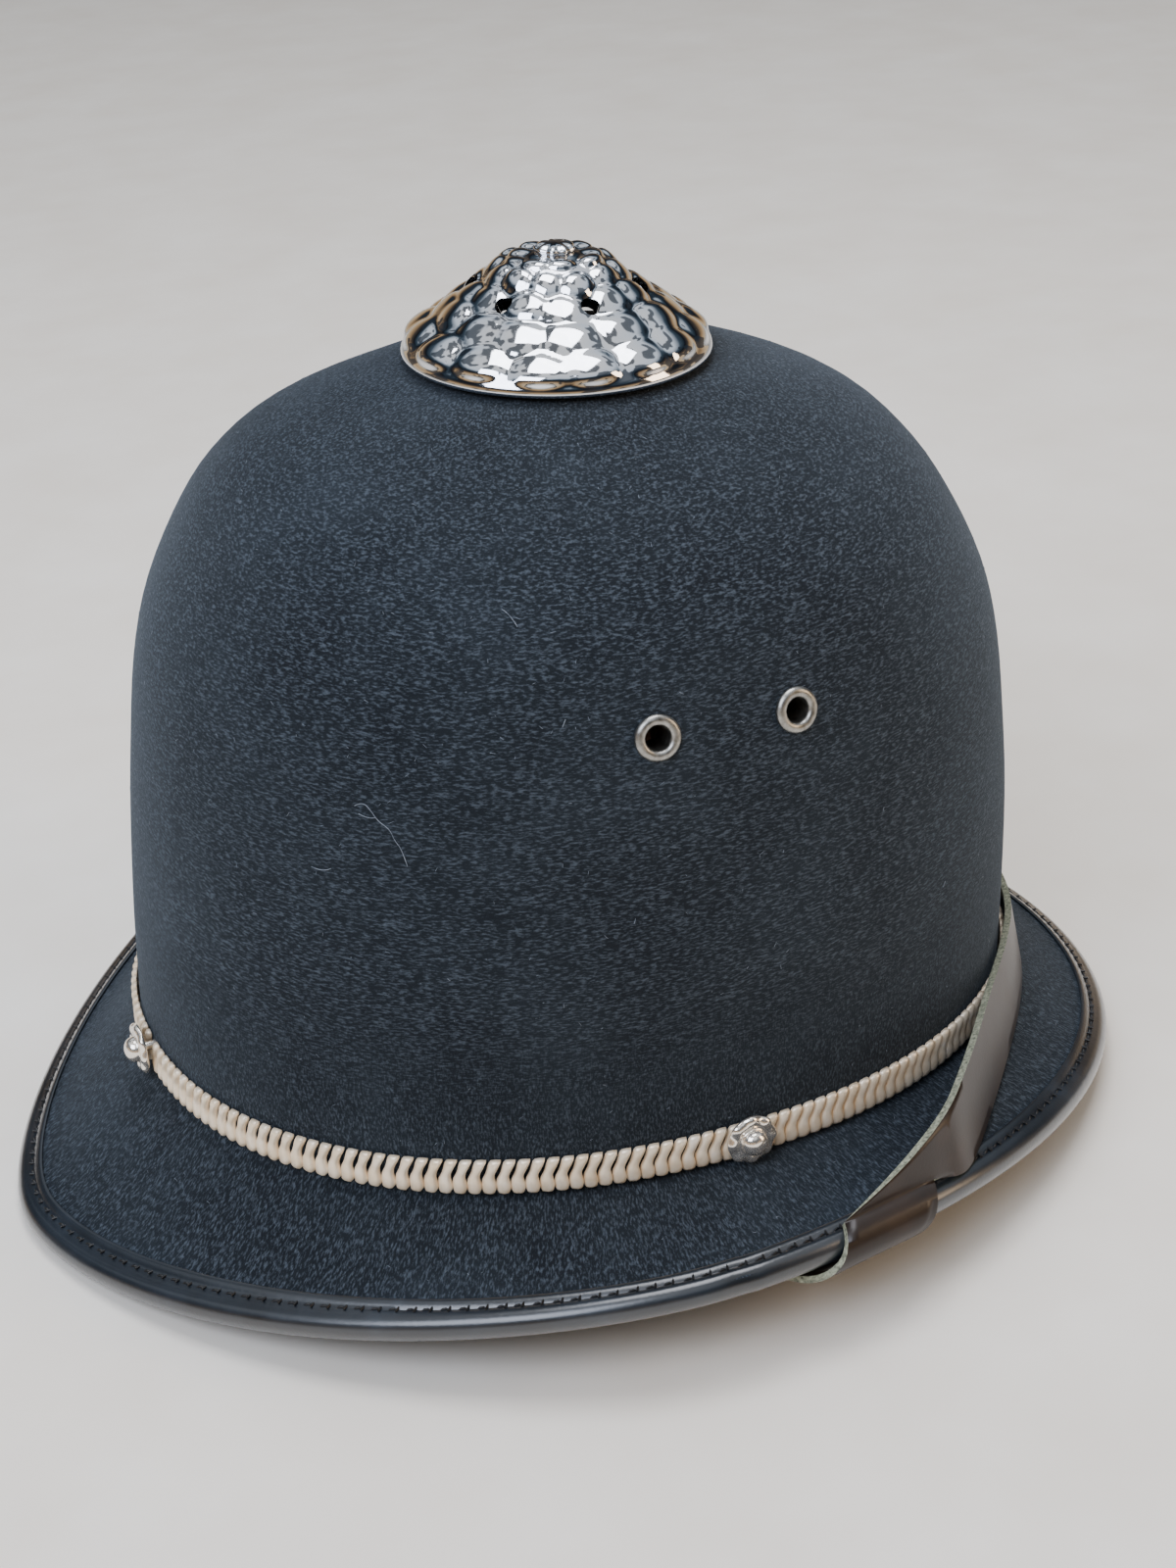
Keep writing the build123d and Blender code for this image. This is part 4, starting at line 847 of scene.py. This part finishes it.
rose_foot = leaning(Vector((-top_set_back, 0, hole_height - rose_sunk)))
rose_matrix = facing(rose_foot, leaning(Vector((0, 0, 1))) - leaning(Vector()), Vector((0, 1, 0)))
rose = wrapped("rose_top_pressed", 192, 150, rose_shell, 60)
rose_vents, rose_vent_radius, rose_drill_length = 6, 2.3, 16
rose_vent_out, rose_vent_up, rose_vent_tilt = 19.8, 16.0, radians(34)
vent_matrices = [Matrix.Rotation(2 * pi * (i + 0.5) / rose_vents, 4, "Z")
                 @ Matrix.Translation((rose_vent_out * mm, 0, rose_vent_up * mm))
                 @ Matrix.Rotation(rose_vent_tilt, 4, "Y") for i in range(rose_vents)]
drill(rose, rose_vent_radius, rose_drill_length, vent_matrices, 28)
rose.data.transform(rose_matrix)
smooth(rose, 50)
seat(rose, chrome, "rose_top")

# %% The button on top
button_table = [(0.0, 0.0), (0.8, 0.0), (1.0, 0.25), (0.92, 0.6), (0.6, 0.9), (0.0, 1.0)]
button_radius, button_foot, button_height, button_beads = 4.7, 24.0, 2.3, 9
button_bead_out, button_bead_up, button_bead_start = 0.06, 0.2, 0.8
stud_radius, stud_length, stud_middle = 2.35, 44, 2.2


def button_place(turn, part):
    radius, height = spline(button_table, part)
    bead = cos(button_beads * 2 * pi * turn) * min(max(radius * 2 - button_bead_start, 0), 1)
    reach = button_radius * max(radius, 0) * (1 + button_bead_out * bead)
    return Vector((reach * cos(2 * pi * turn), reach * sin(2 * pi * turn),
                   button_foot + (button_height + button_bead_up * bead) * height))


button = wrapped("rose_button", 72, 24, button_place, 60)
stud = rod(stud_radius, stud_length, stud_middle, 32)
pick(button, stud)
bpy.ops.object.join()
button.data.transform(rose_matrix)
seat(button, chrome, "rose_stud")

# %% [markdown]
# ## Eyelets
# Each side vent is an eyelet: a tube with a rolled flange, set from outside and turned over a washer inside.
# Its section is a closed line turned round the hole's axis.

# %% Eyelets
eyelet_table = [(2.8, -9.5), (2.8, 0.3), (2.95, 0.9), (3.35, 1.3), (4.0, 1.45), (4.65, 1.3), (5.15, 0.85),
                (5.3, 0.3), (5.2, -0.1), (3.5, -0.05), (3.4, -9.5), (2.8, -9.5)]


def eyelet_place(turn, part):
    radius, height = eyelet_table[round(part * (len(eyelet_table) - 1))]
    return Vector((radius * cos(2 * pi * turn), radius * sin(2 * pi * turn), height))


eyelet = wrapped("eyelet", 40, len(eyelet_table) - 1, eyelet_place, 50)
eyelets = repeated("vent_eyelets_rolled", eyelet, [facing(here, out) for here, out in vent_places])
smooth(eyelets, 50)
seat(eyelets, nickel, "vent_eyelets")

# %% [markdown]
# ## Pieces that keep their own shape
# The rings, tabs, buckle, strap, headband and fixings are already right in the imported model. Each is copied,
# its flat faces are joined, its edges are softened as a real edge is, and it gets its finish. On the strap
# the narrow faces are the raw cut edges.

# %% Softened copies
nearly_flat, edge_angle = radians(0.6), radians(35)


def copied(node):
    """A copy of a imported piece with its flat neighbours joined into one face."""
    piece = bpy.data.objects.new(node + "_finished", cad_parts[node].data.copy())
    bpy.context.scene.collection.objects.link(piece)
    mend(piece, outwards=False, flat_limit=nearly_flat)
    return piece


def softened(node, finish, edge_mm=0.15, body="helmet"):
    piece = copied(node)
    apply_modifier(piece, "BEVEL", width=edge_mm * mm, segments=2, limit_method="ANGLE",
                   angle_limit=edge_angle, harden_normals=False)
    smooth(piece)
    return seat(piece, finish, node, body)


for node in ("rosette_washers", "stud_bridge", "stud_washer", "wing_nut", "vent_washers", "buckle_frame",
             "tab_rivets"):
    softened(node, nickel)
softened("buckle_prong", nickel, body="prong")
softened("right_strap_ring", nickel, body="right_ring", edge_mm=0.1)
softened("left_strap_ring", nickel, body="left_ring", edge_mm=0.1)
softened("vent_collar", aluminium)
softened("headband", board, 0.25)
softened("headband_spacers", cork, 0.6)
softened("sweatband", sheepskin, 0.4)
softened("cradle_straps", tape, 0.25)
for node in ("right_strap_tab", "left_strap_tab"):
    softened(node, bridle, 0.35)

# %% [markdown]
# ## Chin strap
# The strap is cut from one hide and turns smoothly round the brim's edge and round the crown. The packed
# strap has a section at each turn. Here its triangles are joined to strips, its long edges are creased so
# that they stay square, and subdivision rounds its run. The narrow strips are the raw cut edges.

# %% Strap leather with raw edges
square_angle, widest_edge_share = radians(60), 1.12


def flowing(node, thick_mm, body):
    piece = copied(node)
    bpy.ops.object.mode_set(mode="EDIT")
    bpy.ops.mesh.select_all(action="SELECT")
    bpy.ops.mesh.tris_convert_to_quads(face_threshold=square_angle, shape_threshold=radians(180))
    bpy.ops.mesh.select_all(action="DESELECT")
    bpy.ops.mesh.select_mode(type="EDGE")
    bpy.ops.mesh.edges_select_sharp(sharpness=square_angle)
    bpy.ops.transform.edge_crease(value=1.0)
    bpy.ops.object.mode_set(mode="OBJECT")
    mesh = piece.data
    mesh.materials.clear()
    mesh.materials.append(bridle)
    mesh.materials.append(cut_edge)
    for face in mesh.polygons:
        corners = [mesh.vertices[i].co for i in face.vertices]
        longest = max((a - b).length for a, b in zip(corners, corners[1:] + corners[:1]))
        face.material_index = int(face.area / longest < thick_mm * mm * widest_edge_share)
    apply_modifier(piece, "SUBSURF", levels=3, render_levels=3)
    smooth(piece, 45)
    return seat(piece, None, node, body)


for node, thick, body in (("chin_strap_long", 1.8, "helmet"), ("chin_strap_short", 1.8, "helmet"),
                          ("strap_keeper", 1.2, "keeper")):
    flowing(node, thick, body)

# %% [markdown]
# ## Crown pad
# The pad under the crown is a disc of foam in brushed cotton, sewn round its rim. It is fullest between the
# middle and the seam, and a button of thread draws its middle in.

# %% Pad
pad_low, pad_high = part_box("crown_pad")
pad_middle = (pad_low + pad_high) / 2 / mm
pad_radius = (pad_high.x - pad_low.x) / 2 / mm * 0.98
pad_half_height, pad_puckers, pucker_depth, seam_radius = 2.4, 36, 0.12, 0.93
pad_table = [(0.00, -0.55), (0.12, -0.75), (0.45, -1.00), (0.75, -0.85), (0.94, -0.40), (1.00, -0.12),
             (1.015, 0.0), (1.00, 0.12), (0.94, 0.40), (0.75, 0.85), (0.45, 1.00), (0.12, 0.75), (0.00, 0.55)]


def pad_place(turn, part):
    radius, height = spline(pad_table, part)
    pucker = pucker_depth * cos(pad_puckers * 2 * pi * turn) * max(0, 1 - abs(radius - seam_radius) * 14)
    reach = pad_radius * max(radius, 0)
    return pad_middle + Vector((reach * cos(2 * pi * turn), reach * sin(2 * pi * turn),
                                pad_half_height * height * (1 + pucker)))


pad = wrapped("crown_pad_sewn", 144, 48, pad_place, 80)
seat(pad, pad_cloth, "crown_pad")

# %% [markdown]
# ## Camera
# The camera stands where the photograph was taken, from the fit of the brim, the crown, the rose and the
# eyelets. It looks down on the helmet's right side from a little behind.

# %% Camera
camera_data = bpy.data.cameras.new("Camera")
camera_data.sensor_fit = "AUTO"
camera_data.sensor_width = 36.0
camera_data.lens = 58.09
camera = bpy.data.objects.new("Camera", camera_data)
bpy.context.scene.collection.objects.link(camera)
sight = Vector((0.34528, 0.81086, -0.47253)).normalized()
camera_up = Vector((0.23175, 0.41424, 0.88017))
camera_right = sight.cross(camera_up).normalized()
camera_up = camera_right.cross(sight)
camera_spot = Vector((-218.16, -535.00, 396.77)) * mm
camera.matrix_world = (Matrix.Translation(camera_spot)
                       @ Matrix((camera_right, camera_up, -sight)).transposed().to_4x4())
bpy.context.scene.camera = camera
frame_width, frame_height = 1200, 1600


def sight_line(x, y):
    """The direction from the camera through a pixel of the photograph."""
    unit = frame_height * camera_data.lens / camera_data.sensor_width
    across, up = x - frame_width / 2, frame_height / 2 - y
    return (sight * unit + camera_right * across + camera_up * up).normalized()


print("camera at", [round(c, 3) for c in camera_spot])

# %% [markdown]
# ## Dust and threads on the felt
# Used felt gathers lint. A few fine threads lie where the photograph shows them, found by looking along the
# camera's sight lines onto the felt. Short pale fibres lie all over, from a seeded draw, so they are the same
# each run.

# %% Lint
felt_tree = BVHTree.FromPolygons([v.co for v in felt_cover.data.vertices],
                                 [tuple(p.vertices) for p in felt_cover.data.polygons])


def felt_behind(x, y):
    """The place on the felt that a pixel of the photograph shows, and the felt's facing there."""
    return felt_tree.ray_cast(camera_spot, sight_line(x, y))[:2]


def fine_thread(name, pixels, radius_mm):
    """A thread that lies on the felt through pixels of the photograph."""
    spots = [spot + normal * radius_mm * mm * 1.5 for spot, normal in (felt_behind(x, y) for x, y in pixels)]
    line = bpy.data.curves.new(name, "CURVE")
    line.dimensions = "3D"
    run = line.splines.new("NURBS")
    run.points.add(len(spots) - 1)
    for point, spot in zip(run.points, spots):
        point.co = (*spot, 1.0)
    run.order_u = 3
    run.use_endpoint_u = True
    line.bevel_depth = radius_mm * mm
    line.bevel_resolution = 1
    line.use_fill_caps = True
    piece = bpy.data.objects.new(name, line)
    bpy.context.scene.collection.objects.link(piece)
    pick(piece)
    bpy.ops.object.convert(target="MESH")
    return bpy.context.object


# Pixels of the photograph that each thread passes
thread_routes = [[(362, 822), (370, 818), (378, 826), (386, 838), (398, 846), (403, 858), (410, 866),
                  (416, 884)],
                 [(366, 830), (376, 836), (384, 834)], [(512, 622), (520, 626), (528, 640)],
                 [(574, 742), (577, 734)], [(962, 905), (964, 899)], [(318, 884), (330, 890), (338, 886)]]
lint_radius, speck_count, speck_length, speck_foot, speck_tip = 0.09, 900, 1.0, 0.06, 0.035
threads = [fine_thread(f"lint_thread_{i}", route, lint_radius) for i, route in enumerate(thread_routes)]
pick(*threads)
bpy.ops.object.join()
lint_threads = bpy.context.object

draws = random.Random(41)
pick()
bpy.ops.mesh.primitive_cone_add(vertices=3, radius1=speck_foot * mm, radius2=speck_tip * mm,
                                depth=speck_length * mm, rotation=(0, radians(90), 0))
speck = bpy.context.object
bpy.ops.object.transform_apply(location=False, rotation=True, scale=False)
speck_places = []
for _ in range(speck_count):
    turn, part = draws.random(), draws.random()
    if draws.random() < 0.8:
        here = crown_point(part * 0.86 + 0.1, turn)
    else:
        here = brim_point(turn, 12 + part * 18)
    high = here.z > 60
    other = crown_point(part * 0.86 + 0.104, turn + 0.002) if high else here + Vector((1, 0, 0.3))
    sideways = (other - here).normalized()
    outward = Vector((here.x, here.y, here.z - 90 if high else 30)).normalized()
    spin = Matrix.Rotation(draws.uniform(0, pi), 4, "Z")
    size = Matrix.Diagonal((draws.uniform(0.4, 1.3), 1, 1, 1))
    speck_places.append(facing(here + outward * 0.05, outward, sideways) @ spin @ size)
specks = repeated("lint_specks", speck, speck_places)
pick(lint_threads, specks)
bpy.ops.object.join()
lint_threads.name = "lint"
smooth(lint_threads, 60)
seat(lint_threads, fluff, "felt_cover")

# %% [markdown]
# ## Room and light
# A pale floor and a plain room: a bright ceiling with dark patches, walls with a warm foot, and soft lamps.
# Polished chrome only looks like chrome when it has something light and something dark to show.

# %% Floor, world and lamps
pick()
bpy.ops.mesh.primitive_plane_add(size=8)
floor = bpy.context.object
floor.name = "floor"
pale, tree, base, place = material("Floor, pale", Roughness=0.8, Specular_IOR_Level=0.2)
colour(tree, base, ramp(tree, pattern(tree, place, 60), (0.3, "#EFE7DB"), (0.7, "#F6F0E6")))
floor.data.materials.append(pale)
floor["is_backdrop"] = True

world = bpy.data.worlds.new("Room")
bpy.context.scene.world = world
world.use_nodes = True
tree = world.node_tree
direction = add(tree, "ShaderNodeTexCoord").outputs["Generated"]
height = add(tree, "ShaderNodeSeparateXYZ", {"Vector": direction}).outputs["Z"]
sky = ramp(tree, height, (0.0, "#DCC3A0"), (0.17, "#B4946E"), (0.29, "#453F3A"), (0.40, "#171C24"),
           (0.52, "#43525F"), (0.66, "#E4EEFA"), (1.0, "#FFFFFF"))
panes = add(tree, "ShaderNodeTexNoise", {"Vector": direction, "Scale": 3.4, "Detail": 1.0}).outputs["Fac"]
shown = blend(tree, ramp(tree, panes, (0.53, "#000000"), (0.56, "#FFFFFF")), sky, "#2B343E")
tree.links.new(blend(tree, 0.85, sky, shown), tree.nodes["Background"].inputs["Color"])
tree.nodes["Background"].inputs["Strength"].default_value = 0.95


def lamp(name, place, target, size, power, code):
    data = bpy.data.lights.new(name, "AREA")
    data.shape = "RECTANGLE"
    data.size, data.size_y = size
    data.energy = power
    data.color = linear(code)[:3]
    light = bpy.data.objects.new(name, data)
    bpy.context.scene.collection.objects.link(light)
    aim = (Vector(target) - Vector(place)).to_track_quat("-Z", "Y").to_matrix().to_4x4()
    light.matrix_world = Matrix.Translation(place) @ aim


lamp("window", (-1.1, -0.7, 1.3), (0, 0, 0.1), (1.2, 0.9), 28, "#E6EEFF")
lamp("ceiling", (0.1, 0.1, 1.7), (0, 0, 0.1), (0.9, 0.9), 22, "#F4F7FF")
lamp("doorway", (1.3, -0.9, 0.7), (0, 0, 0.1), (0.5, 0.9), 9, "#FFE0BC")
print("room lit")

# %% Sizes and finish
low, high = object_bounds()
print("visual", [round(side / mm, 1) for side in high - low], "mm")
